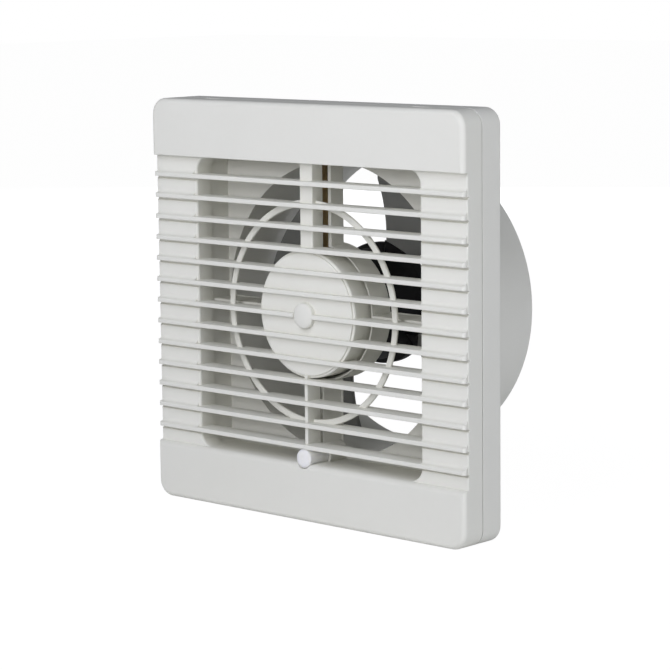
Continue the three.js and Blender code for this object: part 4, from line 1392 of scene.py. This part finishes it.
@dataclass(frozen=True)
class Studio:
    """A pale floor, soft light and the photograph's camera."""

    floor_level: float = -0.099
    lens: float = 134.58
    camera_place: Triple = (0.79838, -0.87280, 0.16264)
    camera_right: Triple = (0.73766, 0.67508, -0.01089)
    camera_down: Triple = (0.09093, -0.11531, -0.98916)
    camera_ahead: Triple = (-0.66902, 0.72867, -0.14645)
    key: Lamp = Lamp("key_lamp", (0.22, -1.08, 0.33), 0.45, 5.6, (0.93, 0.932, 1.0))
    top: Lamp = Lamp("top_lamp", (0.14, -0.84, 0.82), 0.6, 6.1, (0.85, 0.875, 1.0))
    side: Lamp = Lamp("side_lamp", (0.95, 0.10, 0.02), 0.5, 4.7, (0.90, 0.92, 1.0))
    rear: Lamp = Lamp("rear_lamp", (-1.0, 1.45, 0.02), 0.9, 26.0, (0.88, 0.90, 1.0))
    sky: float = 0.035
    sky_colour: tuple[float, ...] = (0.88, 0.93, 1.0, 1.0)
    glossy_share: float = 0.12
    floor_grey: tuple[float, ...] = (0.82, 0.82, 0.82, 1.0)
    floor_white: float = 1.06
    floor_share: float = 0.93

    def camera(self) -> None:
        """Put the camera where the photograph was taken."""
        data = bpy.data.cameras.new("camera")
        data.lens, data.sensor_width = self.lens, 36.0
        data.clip_start, data.clip_end = 0.01, 50.0
        camera = placed("camera", data)
        right, down, ahead = (Vector(v).normalized() for v in
                              (self.camera_right, self.camera_down, self.camera_ahead))
        columns = Matrix((right, -down, -ahead)).transposed()
        camera.matrix_world = Matrix.Translation(self.camera_place) @ columns.to_4x4()
        bpy.context.scene.camera = camera

    def world(self) -> None:
        """Surround the fan with even light and a white background."""
        world = bpy.data.worlds.new("studio_world")
        bpy.context.scene.world = world
        graph = Graph(world, "ShaderNodeOutputWorld")
        even = graph.node("ShaderNodeBackground", {},
                          {"Color": self.sky_colour, "Strength": self.sky})
        white = graph.node("ShaderNodeBackground", {}, {"Color": (1, 1, 1, 1), "Strength": 1.0})
        seen = graph.seen_white(self.glossy_share)
        graph.show(graph.node("ShaderNodeMixShader", {}, {0: seen, 1: even, 2: white}))

    def floor(self) -> None:
        """Lay a plain pale floor that keeps a faint shadow."""
        bpy.ops.mesh.primitive_plane_add(size=12, location=(0, 0, self.floor_level))
        piece = new_piece("floor")
        graph = Graph.material("floor_white")
        plain = graph.node("ShaderNodeBsdfDiffuse", {}, {"Color": self.floor_grey})
        white = graph.node("ShaderNodeEmission", {},
                           {"Color": (1, 1, 1, 1), "Strength": self.floor_white})
        seen = graph.seen_white(self.glossy_share) * self.floor_share
        mixed = graph.node("ShaderNodeMixShader", {}, {0: seen, 1: plain, 2: white})
        piece.data.materials.append(graph.show(mixed))

    def build(self) -> None:
        """Set up camera, light, world and floor."""
        self.camera()
        for lamp in (self.key, self.top, self.side, self.rear):
            lamp.hang()
        self.world()
        self.floor()
        bpy.context.scene.view_settings.view_transform = "Standard"


def main() -> None:
    """Build the studio and the fan."""
    logging.basicConfig(level=logging.INFO, format="%(name)s: %(message)s")
    finishes = Finishes()
    Studio().build()
    FrontGrille().build(finishes)
    RearHousing().build(finishes)
    Impeller().build(finishes)
    Indicator().build(finishes)
    FittedParts().build(finishes)


if __name__ == "__main__":
    main()
